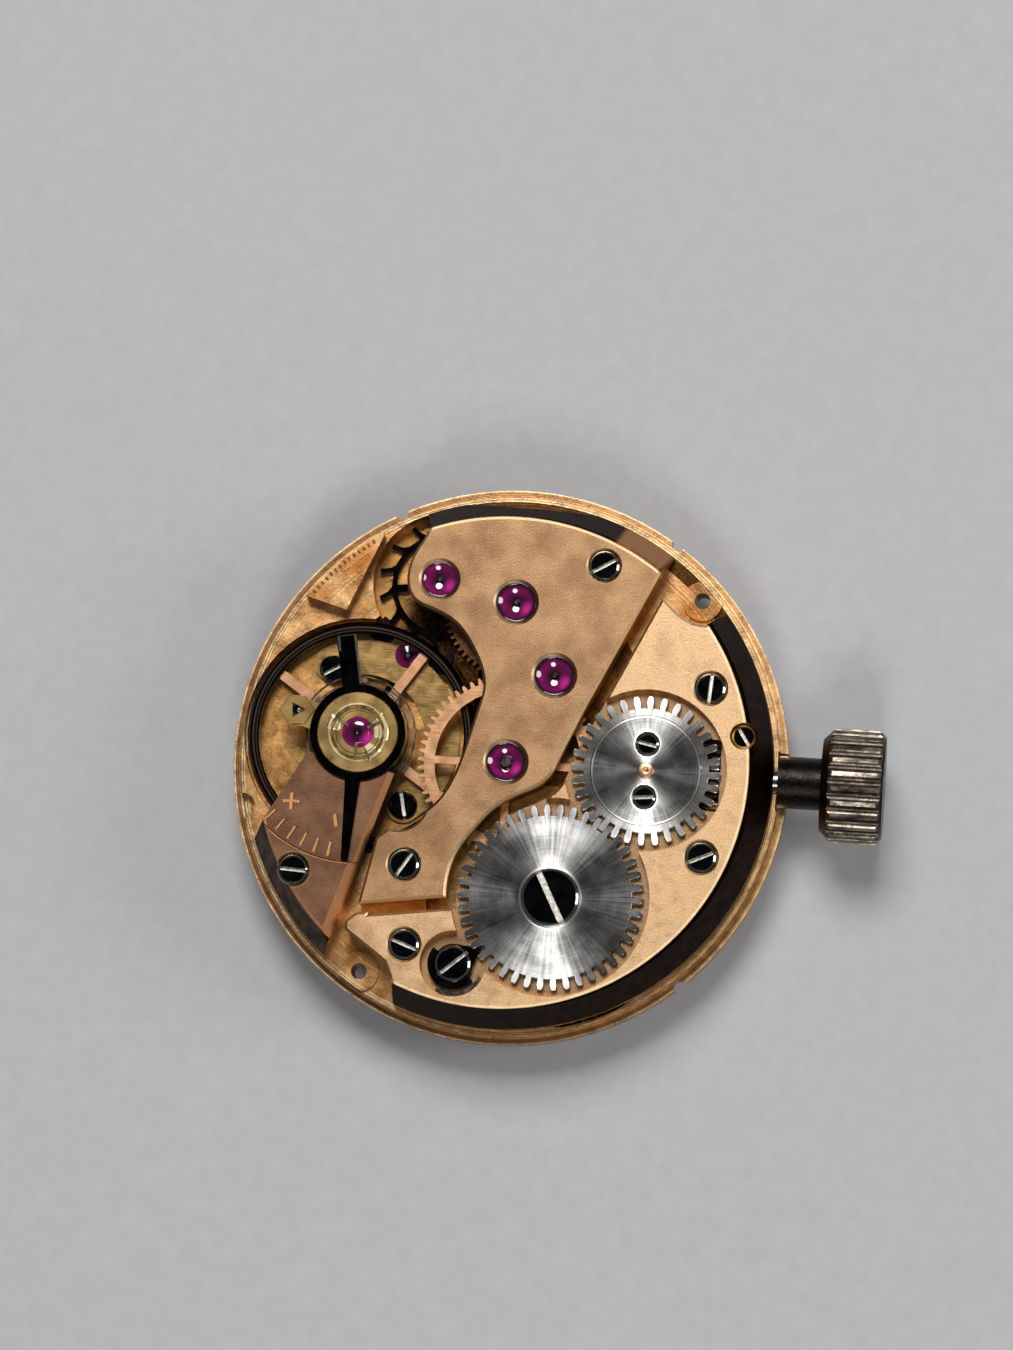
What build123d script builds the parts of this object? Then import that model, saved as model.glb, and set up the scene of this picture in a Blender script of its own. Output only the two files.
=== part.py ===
from build123d import *
import math
import os

# Hand-wound watch movement, bridge side up. Millimetres.
# Origin: the centre wheel's axis, at the dial seat. X runs out along the winding stem, Z out of the bridges.

cut = Mode.SUBTRACT

# Main plate
plate_radius = 8.75
flange_thickness = 0.75
flange_width = 0.25
plate_thickness = 1.25
island_height = 0.65
case_screw_radius = 0.25
case_boss_radius = 0.62
case_boss_height = 0.12
dial_foot_radius = 0.35
dial_foot_depth = 0.7
dial_screw_radius = 0.17
rim_notch_radius = 0.2
key_notch_radius = 0.4
stem_notch_depth = 0.35

# Bridges
movement_height = 2.5
bridge_inset = 0.45
bevel_width = 0.58
bevel_drop = 0.9
bridge_gap = 0.32
edge_bevel = 0.08
cock_bevel = 0.3
cock_underside_height = 1.9
cock_head_radius = 1.42
cock_sink_depth = 0.12
cock_ring_seat = 1.56

# Clearances
wheel_gap = 0.05
running_clearance = 0.02
pivot_clearance = 0.01
recess_clearance = 0.12
overrun = 0.4

# Slotted screws
screw_head_radius = 0.49
screw_head_height = 0.24
screw_shank_radius = 0.24
screw_depth = 0.62
screw_sink = 0.05
slot_width = 0.11
slot_depth = 0.1
screw_crown = 0.03

# Motion work, under the dial side of the plate
dial_gap = 0.03
hour_wheel_thickness = 0.1
minute_wheel_thickness = 0.12
cannon_length = 1.15
cannon_radius = 0.4
cannon_cap = 0.17
hour_pipe_length = 0.85
hour_pipe_wall = 0.14
motion_arbor_distance = 2.2
setting_wheel_distance = 2.55
stud_radius = 0.2

# Barrel
barrel_web = 0.15
barrel_tooth_height = 0.23
barrel_height = 0.9
drum_step = 0.07
barrel_wall = 0.18
barrel_floor = 0.12
barrel_cover_thickness = 0.1
arbor_core_radius = 0.9
arbor_pivot_radius = 0.42
arbor_square = 0.62
mainspring_strip = 0.09
mainspring_turns = 5

# Going train
train_wheel_thickness = 0.12
centre_wheel_thickness = 0.14
centre_wheel_rise = 0.16
third_wheel_height = 0.95
fourth_wheel_height = 1.35
escape_wheel_height = 0.6
escape_wheel_thickness = 0.14
escape_rim_width = 0.17
rim_width = 0.34
arm_width = 0.24
hub_radius = 0.42
arbor_radius = 0.12
pivot_radius = 0.06
centre_arbor_radius = 0.24
centre_post_radius = 0.22
centre_pivot_radius = 0.15
pinion_lead = 0.1

# Jewels
train_jewel_radius = 0.62
centre_jewel_radius = 0.72
escape_jewel_radius = 0.56
jewel_thickness = 0.28
lower_jewel_radius = 0.42
pallet_jewel_radius = 0.41
jewel_set_back = 0.05
oil_sink_radius = 0.3
oil_sink_depth = 0.1
jewel_sink = 0.1

# Lever escapement
pallet_bridge_height = 0.8
pallet_bridge_thickness = 0.13
pallet_bridge_width = 1.1
pallet_boss_radius = 0.68
fork_arm_width = 0.3
fork_horn_width = 0.62
fork_head_length = 0.54
fork_channel_width = 1.5
fork_notch_width = 0.22
fork_notch_depth = 0.34
stone_width = 0.24
stone_length = 0.7
stone_bite = 0.06
stone_lean = 10
pallet_arm_width = 0.45
pallet_recess_radius = 1.5
pallet_span_angle = 30
pallet_screw_head_radius = 0.45

# Balance
balance_rim_width = 0.36
balance_rim_height = 0.38
balance_arm_width = 0.3
balance_arm_thickness = 0.12
balance_lift = 0.07
balance_hub_radius = 0.5
staff_radius = 0.2
staff_neck_radius = 0.12
staff_seat_radius = 0.42
roller_radius = 0.72
roller_thickness = 0.09
safety_roller_radius = 0.34
impulse_radius = 0.09
impulse_distance = 0.48
collet_radius = 0.4
hairspring_radius = 1.92
hairspring_strip = 0.05
hairspring_height = 0.12
hairspring_turns = 7
shock_radius = 0.92
shock_flange_radius = 1.24
shock_depth = 0.46
shock_floor = 0.06
shock_bore = 0.3
chaton_radius = 0.67
cap_jewel_radius = 0.49
cap_jewel_thickness = 0.12
hole_jewel_radius = 0.4
hole_jewel_thickness = 0.12
shock_rim = 0.05
lyre_width = 0.09
lyre_thickness = 0.05

# Regulator and stud holder
regulator_radius = 1.5
regulator_bore_radius = 1.27
regulator_thickness = 0.11
regulator_angle = 268
regulator_arm_angle = 100.5
curb_pin_radius = 0.04
curb_pin_gap = 0.07
pointer_set_back = 0.09
pointer_root_width = 0.5
pointer_tip_width = 0.22
regulator_arm_set_back = 0.53
regulator_arm_width = 0.62
stud_plate_thickness = 0.13
stud_arm_distance = 2.05
stud_arm_width = 0.85
stud_boss_radius = 0.45
stud_pin_radius = 0.14

# Winding and setting
stem_height = 1.15
stem_journal_radius = 0.38
stem_square = 0.44
stem_pilot_radius = 0.2
stem_thread_radius = 0.3
winding_pinion_radius = 1.0
winding_pinion_root = 0.76
winding_pinion_length = 0.62
winding_pinion_overlap = 0.5
winding_pinion_bore = 0.32
sliding_pinion_radius = 0.66
sliding_pinion_length = 1.6
sliding_groove_radius = 0.42
sliding_groove_width = 0.3
clutch_notch_width = 0.14
clutch_notch_depth = 0.12
stem_pilot_length = 0.35
stem_groove_radius = 0.25
stem_groove_width = 0.24
stem_groove_lead = 0.38
crown_travel = 0.6
clutch_travel = 0.75
crown_stand = 1.05
crown_length = 1.95
crown_radius = 1.78
crown_flutes = 24
crown_flute_radius = 0.17
crown_flute_distance = 1.82
crown_cone = 0.35
crown_dome = 0.2
crown_neck_radius = 0.815
crown_wheel_addendum = 0.2
crown_wheel_dedendum = 0.18
ratchet_addendum = 0.1
ratchet_dedendum = 0.25
winding_wheel_thickness = 0.2
winding_recess_depth = 0.4
winding_recess_margin = 0.2
core_plate_radius = 1.71
core_hub_radius = 1.06
core_plate_thickness = 0.12
core_screw_radius = 0.375
core_shank_radius = 0.19
core_screw_offset = 0.83
ratchet_screw_radius = 0.91
ratchet_screw_height = 0.13
ratchet_slot_width = 0.2
click_sink_radius = 1.03
click_head_radius = 0.575
click_thickness = 0.18
click_radius = 0.62
click_disc_radius = 0.8
beak_angle = 32.5
click_spring_width = 0.1
click_spring_start = -115
click_spring_sweep = 90
click_shoulder_angles = (60, -75)

# Keyless work, under the dial side of the plate
lever_thickness = 0.12
lever_screw_head_radius = 0.4
lever_screw_drop = 0.3
lever_boss_radius = 0.5
lever_arm_width = 0.4
yoke_width = 0.42
jumper_thickness = 0.09
spring_width = 0.12
dial_screw_head_radius = 0.3
dial_screw_head_height = 0.14
dial_screw_height = 0.38
keyless_corner_radius = 0.35
lever_pin_radius = 0.08
lever_screw_shank_radius = 0.2
yoke_pivot_radius = 0.22
yoke_beak_radius = 0.11
jumper_screw_radius = 0.24
jumper_shank_radius = 0.12
jumper_screw_length = 0.4

# Teeth
barrel_teeth = 66
centre_leaves = 12
centre_teeth = 64
third_leaves = 8
third_teeth = 60
fourth_leaves = 8
fourth_teeth = 66
escape_leaves = 6
escape_teeth = 15
ratchet_teeth = 42
crown_wheel_teeth = 32
winding_teeth = 14
cannon_leaves = 10
minute_teeth = 30
minute_leaves = 8
hour_teeth = 32
setting_teeth = 16
clutch_notches = 12
wheel_arms = 4
escape_arms = 5
balance_arms = 4
lyre_prongs = 3
# A wheel's root and a leaf's tip, in modules from the pitch line; the escape wheel's root and clubs
root_share = 1.2
leaf_share = 0.8
escape_root_share = 0.8
club_shares = ((0.8, -0.1), (0.86, 0.1), (1, 0.24), (0.985, 0.42), (0.9, 0.34), (0.8, 0.26))
lyre_prong_share = 0.7
stone_grip_share = 0.33

# Radii of the large wheels and sinks, as shares of the plate's radius
balance_share = 0.411
escape_share = 0.24
cock_sink_share = 0.469
click_beak_share = 0.279

# Places in plan, as shares of the plate's radius
axis_shares = {
    "barrel": (0.189, -0.471),
    "crown_wheel": (0.499, 0.0),
    "centre": (0.0, 0.0),
    "third": (0.152, 0.318),
    "fourth": (-0.002, 0.573),
    "escape": (-0.281, 0.639),
    "pallet": (-0.394, 0.377),
    "balance": (-0.537, 0.074),
    "click": (-0.141, -0.728),
    "lever_screw": (0.838, 0.143),
}
# Each bridge screw: its place, and the way that its slot points in degrees
train_screw_shares = [(0.304, 0.722, 31), (-0.339, -0.387, 58)]
barrel_screw_shares = [(0.71, 0.306, 86), (0.715, -0.297, 25), (-0.319, -0.671, -20)]
cock_screw_shares = [(-0.735, -0.43, -3)]
pallet_screw_shares = [(-0.657, 0.311, 31), (-0.374, -0.163, -78)]
case_hole_shares = [(0.655, 0.629), (-0.486, -0.771)]
dial_foot_shares = [(0.36, 0.77), (-0.62, -0.62)]
yoke_pivot_share = (0.64, -0.265)
yoke_spring_shares = [(0.545, -0.3), (0.59, -0.2), (0.575, -0.1)]
jumper_screw_shares = [(0.73, -0.32), (0.86, -0.16)]

# Outlines in plan, as shares of the plate's radius
train_head_shares = [(0.519, 0.733), (0.62, 0.9), (-0.37, 0.93), (-0.326, 0.827), (-0.352, 0.774)]
train_nose_shares = [(-0.393, 0.686), (-0.397, 0.624), (-0.369, 0.563), (-0.297, 0.529), (-0.217, 0.488)]
train_flank_shares = [
    (-0.142, 0.394),
    (-0.113, 0.335),
    (-0.099, 0.254),
    (-0.112, 0.195),
    (-0.126, 0.141),
    (-0.144, 0.07),
    (-0.209, -0.113),
    (-0.236, -0.153),
    (-0.275, -0.189),
]
train_foot_shares = [(-0.404, -0.262), (-0.446, -0.299), (-0.493, -0.537), (-0.182, -0.494)]
train_lip_shares = [
    (-0.179, -0.414),
    (-0.154, -0.331),
    (-0.095, -0.242),
    (-0.022, -0.159),
    (0.043, -0.117),
    (0.1, -0.09),
    (0.136, -0.066),
    (0.179, -0.002),
]
train_corner_shares = [(0.254, 0.174)]
barrel_top_shares = [
    (0.254, 0.174),
    (0.515, 0.623),
    (0.578, 0.565),
    (0.63, 0.535),
    (0.679, 0.53),
    (0.8, 0.62),
]
barrel_rim_shares = [(1.2, 0.6), (1.2, -1.2), (-0.36, -1.2)]
barrel_tail_shares = [
    (-0.352, -0.815),
    (-0.362, -0.785),
    (-0.383, -0.738),
    (-0.442, -0.695),
    (-0.533, -0.631),
]
barrel_back_shares = [(-0.535, -0.601), (-0.497, -0.568), (-0.19, -0.535), (-0.05, -0.3)]
cock_shares = [
    (-0.399, -0.063),
    (-0.602, -0.705),
    (-0.68, -0.9),
    (-1.1, -0.7),
    (-0.98, -0.48),
    (-0.713, -0.006),
]
cock_edge_shares = [(-0.399, -0.063), (-0.622, -0.768)]
keyless_shares = [
    (0.42, -0.1),
    (0.5, -0.34),
    (0.76, -0.38),
    (0.9, -0.2),
    (0.915, 0.12),
    (0.87, 0.24),
    (0.75, 0.24),
    (0.66, 0.12),
    (0.42, 0.1),
]
jumper_shares = [(0.68, -0.35), (0.76, -0.36), (0.895, -0.2), (0.9, -0.12), (0.8, -0.1), (0.7, -0.22)]
island_shares = [(-0.499, 0.79), (-0.53, 1.0), (-0.9, 0.66), (-0.768, 0.561), (-0.615, 0.517)]
# Directions of the notches in the plate's rim, and of the round one that a ring's key goes into
rim_notch_angles = (56.6, 116.9, -48.8)
key_notch_angle = 192


def spot(share):
    """A place in plan from its share of the plate's radius."""
    return (share[0] * plate_radius, share[1] * plate_radius)


def outline(*tables):
    """The corners of an outline from its tables of shares."""
    return [spot(share) for table in tables for share in table]


def along(start, angle, distance):
    """The place at a distance from another, in a direction in degrees."""
    return (
        start[0] + distance * math.cos(math.radians(angle)),
        start[1] + distance * math.sin(math.radians(angle)),
    )


def bearing(start, end):
    """The direction from one place to another, in degrees."""
    return math.degrees(math.atan2(end[1] - start[1], end[0] - start[0]))


def reach(start, end):
    """The distance between two places in plan."""
    return math.hypot(end[0] - start[0], end[1] - start[1])


def level(place, height):
    """A plane that lies flat at a place and a height."""
    return Plane((place[0], place[1], height))


def post(place, radius, bottom, top, mode=Mode.ADD):
    """A round post from one height to another, or a round hole."""
    with Locations((place[0], place[1], bottom)):
        Cylinder(radius, top - bottom, align=(Align.CENTER, Align.CENTER, Align.MIN), mode=mode)


def rod(start, radius, end, mode=Mode.ADD):
    """A round bar along X at the stem's height, or a round hole."""
    with Locations(Location((start, 0, stem_height), (0, 90, 0))):
        Cylinder(radius, end - start, align=(Align.CENTER, Align.CENTER, Align.MIN), mode=mode)


def pinch(teeth_a, phase_a, teeth_b, direction):
    """The turn of a wheel whose teeth fall between those of the wheel that it meshes with."""
    fraction = ((direction - phase_a) * teeth_a / 360) % 1
    return direction + 180 - (0.5 - fraction) * 360 / teeth_b


def tooth_points(teeth, root, tip, phase):
    """The outline of a toothed wheel: each tooth narrows past its pitch line and is blunt."""
    pitch = (root + tip) / 2
    flank_shares = ((root, 0.27), (pitch, 0.22), (tip, 0.1))
    rising = [(radius, -share) for radius, share in flank_shares]
    return [
        along((0, 0), phase + (number + share) * 360 / teeth, radius)
        for number in range(teeth)
        for radius, share in rising + list(reversed(flank_shares))
    ]


def wheel_points(teeth, pitch, module, phase):
    """The outline of a wheel from its pitch radius."""
    return tooth_points(teeth, pitch - module * root_share, pitch + module, phase)


def leaf_points(leaves, pitch, module, phase):
    """The outline of a pinion from its pitch radius: its leaves stand lower than a wheel's teeth."""
    return tooth_points(leaves, pitch - module, pitch + module * leaf_share, phase)


def taper(place, low_radius, high_radius, bottom, top, mode=Mode.ADD):
    """A cone between two heights, or a sink."""
    with Locations((place[0], place[1], bottom)):
        Cone(low_radius, high_radius, top - bottom, align=(Align.CENTER, Align.CENTER, Align.MIN), mode=mode)


def slotted_screw(place, top, head_radius, head_height, shank_radius, bottom, turn, slot=slot_width):
    """A screw with a flat polished head, a slot across it and a plain shank."""
    post(place, shank_radius, bottom, top - head_height)
    post(place, head_radius, top - head_height, top - screw_crown)
    taper(place, head_radius, head_radius - screw_crown, top - screw_crown, top)
    with Locations(Location((place[0], place[1], top), (0, 0, turn))):
        Box(
            head_radius * 2 + overrun,
            slot,
            slot_depth,
            align=(Align.CENTER, Align.CENTER, Align.MAX),
            mode=cut,
        )


def screw_hole(place, top):
    """A stepped hole for a bridge screw, with a light sink round its head."""
    bore = screw_head_radius + running_clearance
    post(place, screw_shank_radius + running_clearance, 0, top + overrun, cut)
    post(place, bore, top - screw_head_height, top + overrun, cut)
    taper(place, bore, bore + screw_sink, top - screw_sink, top, cut)


def jewel_seat(place, radius, top, bottom):
    """The hole that a jewel is pressed into, with the polished sink round it."""
    post(place, radius, bottom, top + overrun, cut)
    taper(place, radius, radius + jewel_sink, top - jewel_sink, top, cut)


def hole_jewel(place, radius, top, thickness, up=True, pivot=pivot_radius):
    """A pierced jewel with a round oil sink on its outer face."""
    bore = pivot + pivot_clearance
    post(place, radius, top - thickness, top)
    sink = max(oil_sink_radius, bore + oil_sink_depth)
    if up:
        taper(place, bore, sink, top - oil_sink_depth, top, cut)
    else:
        taper(place, sink, bore, top - thickness, top - thickness + oil_sink_depth, cut)
    post(place, bore, top - thickness, top, cut)


def crossed_wheel(place, teeth, pitch, module, bottom, thickness, bore, phase):
    """A train wheel: a toothed rim, a hub with its bore, and arms between them."""
    inner = pitch - module * root_share - rim_width
    with BuildPart() as wheel:
        with BuildSketch(level(place, bottom)):
            Polygon(*wheel_points(teeth, pitch, module, phase))
            Circle(inner, mode=cut)
            with PolarLocations(0, wheel_arms, start_angle=phase):
                Rectangle(inner + rim_width / 2, arm_width, align=(Align.MIN, Align.CENTER))
            Circle(max(hub_radius, bore + rim_width / 2))
            Circle(bore, mode=cut)
        extrude(amount=thickness)
    return wheel


def leaf_pinion(place, leaves, pitch, bottom, top, phase, ends):
    """A pinion cut on its arbor, with a thinner pivot at each end."""
    low_tip, low_shoulder, high_shoulder, high_tip = ends
    with BuildPart() as pinion:
        with BuildSketch(level(place, bottom)):
            Polygon(*leaf_points(leaves, pitch, 2 * pitch / leaves, phase))
        extrude(amount=top - bottom)
        post(place, pivot_radius, low_tip, low_shoulder)
        post(place, arbor_radius, low_shoulder, bottom)
        post(place, arbor_radius, top, high_shoulder)
        post(place, pivot_radius, high_shoulder, high_tip)
    return pinion


# Axes in plan
axis = {name: spot(share) for name, share in axis_shares.items()}
centre_at = axis["centre"]
barrel_at = axis["barrel"]
third_at = axis["third"]
fourth_at = axis["fourth"]
escape_at = axis["escape"]
pallet_at = axis["pallet"]
balance_at = axis["balance"]
crown_wheel_at = axis["crown_wheel"]
click_at = axis["click"]
lever_screw_at = axis["lever_screw"]

# Radii about the centre, the balance and the escape wheel
plate_body_radius = plate_radius - flange_width
bridge_radius = plate_radius - bridge_inset
bridge_land_radius = bridge_radius - bevel_width
balance_radius = plate_radius * balance_share
escape_tip_radius = plate_radius * escape_share
cock_sink_radius = plate_radius * cock_sink_share
pointer_length = cock_sink_radius - pointer_set_back
regulator_arm_length = balance_radius - regulator_arm_set_back

# Heights, worked out upwards from the dial seat
minute_wheel_bottom = dial_gap + hour_wheel_thickness + wheel_gap
motion_ceiling = minute_wheel_bottom + minute_wheel_thickness + wheel_gap
barrel_seat = motion_ceiling + barrel_web
barrel_bottom = barrel_seat + wheel_gap
barrel_teeth_top = barrel_bottom + barrel_tooth_height
barrel_top = barrel_bottom + barrel_height
centre_wheel_bottom = barrel_top + centre_wheel_rise
centre_wheel_top = centre_wheel_bottom + centre_wheel_thickness
third_pinion_bottom = centre_wheel_bottom - pinion_lead
third_pinion_top = centre_wheel_top + pinion_lead
fourth_pinion_bottom = third_wheel_height - pinion_lead
fourth_pinion_top = third_wheel_height + train_wheel_thickness + pinion_lead
escape_pinion_bottom = fourth_wheel_height - pinion_lead
escape_pinion_top = fourth_wheel_height + train_wheel_thickness + pinion_lead
escape_floor = escape_wheel_height - pinion_lead
escape_wheel_top = escape_wheel_height + escape_wheel_thickness
pallet_bridge_top = pallet_bridge_height + pallet_bridge_thickness
balance_bottom = pallet_bridge_top + balance_lift
balance_top = balance_bottom + balance_rim_height
balance_arm_bottom = balance_bottom + pinion_lead
hairspring_bottom = balance_top + wheel_gap
hairspring_top = hairspring_bottom + hairspring_height
jewel_top = movement_height - jewel_set_back
jewel_bottom = jewel_top - jewel_thickness
winding_floor = movement_height - winding_recess_depth
winding_wheel_bottom = winding_floor + wheel_gap
winding_wheel_top = winding_wheel_bottom + winding_wheel_thickness
cock_sink_height = movement_height - cock_sink_depth
screw_bottom = plate_thickness - screw_depth

# Wheel sizes, worked out from the distances between the axes
barrel_module = 2 * reach(barrel_at, centre_at) / (barrel_teeth + centre_leaves)
centre_module = 2 * reach(centre_at, third_at) / (centre_teeth + third_leaves)
third_module = 2 * reach(third_at, fourth_at) / (third_teeth + fourth_leaves)
fourth_module = 2 * reach(fourth_at, escape_at) / (fourth_teeth + escape_leaves)
motion_module = 2 * motion_arbor_distance / (cannon_leaves + minute_teeth)
barrel_pitch = barrel_module * barrel_teeth / 2
centre_pinion_pitch = barrel_module * centre_leaves / 2
centre_pitch = centre_module * centre_teeth / 2
third_pinion_pitch = centre_module * third_leaves / 2
third_pitch = third_module * third_teeth / 2
fourth_pinion_pitch = third_module * fourth_leaves / 2
fourth_pitch = fourth_module * fourth_teeth / 2
escape_pinion_pitch = fourth_module * escape_leaves / 2
barrel_tip = barrel_pitch + barrel_module
centre_tip = centre_pitch + centre_module
third_tip = third_pitch + third_module
fourth_tip = fourth_pitch + fourth_module
barrel_drum_radius = barrel_pitch - barrel_module * root_share - drum_step
winding_module = 2 * reach(barrel_at, crown_wheel_at) / (ratchet_teeth + crown_wheel_teeth)
ratchet_pitch = winding_module * ratchet_teeth / 2
crown_wheel_pitch = winding_module * crown_wheel_teeth / 2
ratchet_tip_radius = ratchet_pitch + ratchet_addendum
ratchet_root_radius = ratchet_pitch - ratchet_dedendum
crown_wheel_tip_radius = crown_wheel_pitch + crown_wheel_addendum
crown_wheel_root_radius = crown_wheel_pitch - crown_wheel_dedendum
click_beak_length = reach(click_at, barrel_at) * click_beak_share

# Turns of the wheels, so that teeth fall into gaps
centre_phase = 0
centre_pinion_phase = 0
barrel_phase = pinch(centre_leaves, centre_pinion_phase, barrel_teeth, bearing(centre_at, barrel_at))
third_pinion_phase = pinch(centre_teeth, centre_phase, third_leaves, bearing(centre_at, third_at))
fourth_pinion_phase = pinch(third_teeth, third_pinion_phase, fourth_leaves, bearing(third_at, fourth_at))
escape_pinion_phase = pinch(fourth_teeth, fourth_pinion_phase, escape_leaves, bearing(fourth_at, escape_at))
beak_at = along(click_at, beak_angle, click_beak_length)
ratchet_phase = bearing(barrel_at, beak_at) + 180 / ratchet_teeth
crown_wheel_phase = pinch(ratchet_teeth, ratchet_phase, crown_wheel_teeth, bearing(barrel_at, crown_wheel_at))

# Motion work in plan: the minute wheel meshes with the cannon pinion and with the setting wheel
cannon_pitch = motion_module * cannon_leaves / 2
minute_pitch = motion_module * minute_teeth / 2
minute_pinion_pitch = motion_module * minute_leaves / 2
hour_pitch = motion_module * hour_teeth / 2
setting_wheel_at = (setting_wheel_distance, 0)
setting_pitch = motion_module * setting_teeth / 2
setting_reach = minute_pitch + setting_pitch
minute_square = motion_arbor_distance**2 - setting_reach**2 + setting_wheel_distance**2
minute_x = minute_square / (2 * setting_wheel_distance)
minute_at = (minute_x, -math.sqrt(motion_arbor_distance**2 - minute_x**2))
minute_phase = pinch(cannon_leaves, 0, minute_teeth, bearing(centre_at, minute_at))
hour_phase = pinch(minute_leaves, minute_phase, hour_teeth, bearing(minute_at, centre_at))
setting_phase = pinch(minute_teeth, minute_phase, setting_teeth, bearing(minute_at, setting_wheel_at))

# Places and directions that several pieces share
fork_angle = bearing(pallet_at, balance_at)
fork_reach = reach(pallet_at, balance_at)
third_floor = third_wheel_height - pinion_lead
fourth_floor = fourth_pinion_bottom - pinion_lead
winding_pinion_place = crown_wheel_at[0] + crown_wheel_pitch - winding_pinion_overlap
sliding_pinion_place = winding_pinion_place - wheel_gap - sliding_pinion_length
pocket_start = sliding_pinion_place - clutch_travel - wheel_gap
pocket_end = winding_pinion_place + winding_pinion_length + wheel_gap
stem_pilot_place = pocket_start - stem_pilot_length
stem_groove_place = pocket_end + stem_groove_lead
rim_end = plate_radius - stem_notch_depth + wheel_gap
crown_place = plate_radius + crown_stand
groove_place = sliding_pinion_place + sliding_pinion_length / 2
lever_pin_at = (stem_groove_place + stem_groove_width / 2, 0)
yoke_pivot_at = spot(yoke_pivot_share)
yoke_beak_at = (groove_place, 0)
stud_angle = 163
stud_hole_angle = 62
notch_direction = -50
balance_turn = 56
ratchet_slot_angle = -62
core_slot_angles = (-12, 6)
click_slot_angle = 41
click_disc_angle = 53
lever_slot_angle = -56
keyless_bottom = dial_gap + jumper_thickness + wheel_gap
keyless_top = keyless_bottom + lever_thickness
train_screws_at = [(spot(share), share[2]) for share in train_screw_shares]
barrel_screws_at = [(spot(share), share[2]) for share in barrel_screw_shares]
cock_screws_at = [(spot(share), share[2]) for share in cock_screw_shares]
pallet_screws_at = [(spot(share), share[2]) for share in pallet_screw_shares]
case_holes_at = [spot(share) for share in case_hole_shares]
core_screws_at = [(crown_wheel_at[0], side * core_screw_offset) for side in (1, -1)]


def slab(start, end, half_width, bottom, top, mode=Mode.ADD):
    """A block along the stem, from one X to another."""
    with Locations(((start + end) / 2, 0, bottom)):
        Box(
            end - start,
            half_width * 2,
            top - bottom,
            align=(Align.CENTER, Align.CENTER, Align.MIN),
            mode=mode,
        )


def foot_bore(foot, radius, start, end, mode=Mode.ADD):
    """A round bar that points from the plate's edge to a dial foot, between two distances from the centre."""
    angle = bearing(centre_at, foot)
    x, y = along(centre_at, angle, start)
    with Locations(Plane((x, y, dial_screw_height), z_dir=(*along((0, 0), angle, 1), 0))):
        Cylinder(radius, end - start, align=(Align.CENTER, Align.CENTER, Align.MIN), mode=mode)


def lever_arm(start, end, width):
    """A flat bar with round ends between two places, in the sketch at hand."""
    with Locations(((start[0] + end[0]) / 2, (start[1] + end[1]) / 2)):
        SlotCenterToCenter(reach(start, end), width, rotation=bearing(start, end))


def bridge_blank():
    """The turned disc that the bridges are cut from, with the polished bevel round its edge."""
    with BuildPart() as blank:
        with BuildSketch(Plane.XZ):
            with BuildLine():
                Polyline(
                    (0, plate_thickness),
                    (bridge_radius, plate_thickness),
                    (bridge_radius, movement_height - bevel_drop),
                    (bridge_land_radius, movement_height),
                    (0, movement_height),
                    close=True,
                )
            make_face()
        revolve(axis=Axis.Z)
    return blank.part


def spiral(place, bottom, height, inner, pitch, turns, strip, start_angle=0):
    """A flat strip wound in a spiral of half turns."""
    half_pitch = pitch / 2
    with BuildPart() as coil:
        with BuildSketch(level(place, bottom).rotated((0, 0, start_angle))):
            with BuildLine():
                for edge in (strip / 2, -strip / 2):
                    for half in range(turns * 2):
                        odd = half % 2
                        CenterArc((half_pitch * odd, 0), inner + half_pitch * half + edge, 180 * odd, 180)
                for end in (inner, inner + pitch * turns):
                    Line((end - strip / 2, 0), (end + strip / 2, 0))
            make_face()
        extrude(amount=height)
    return coil


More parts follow.
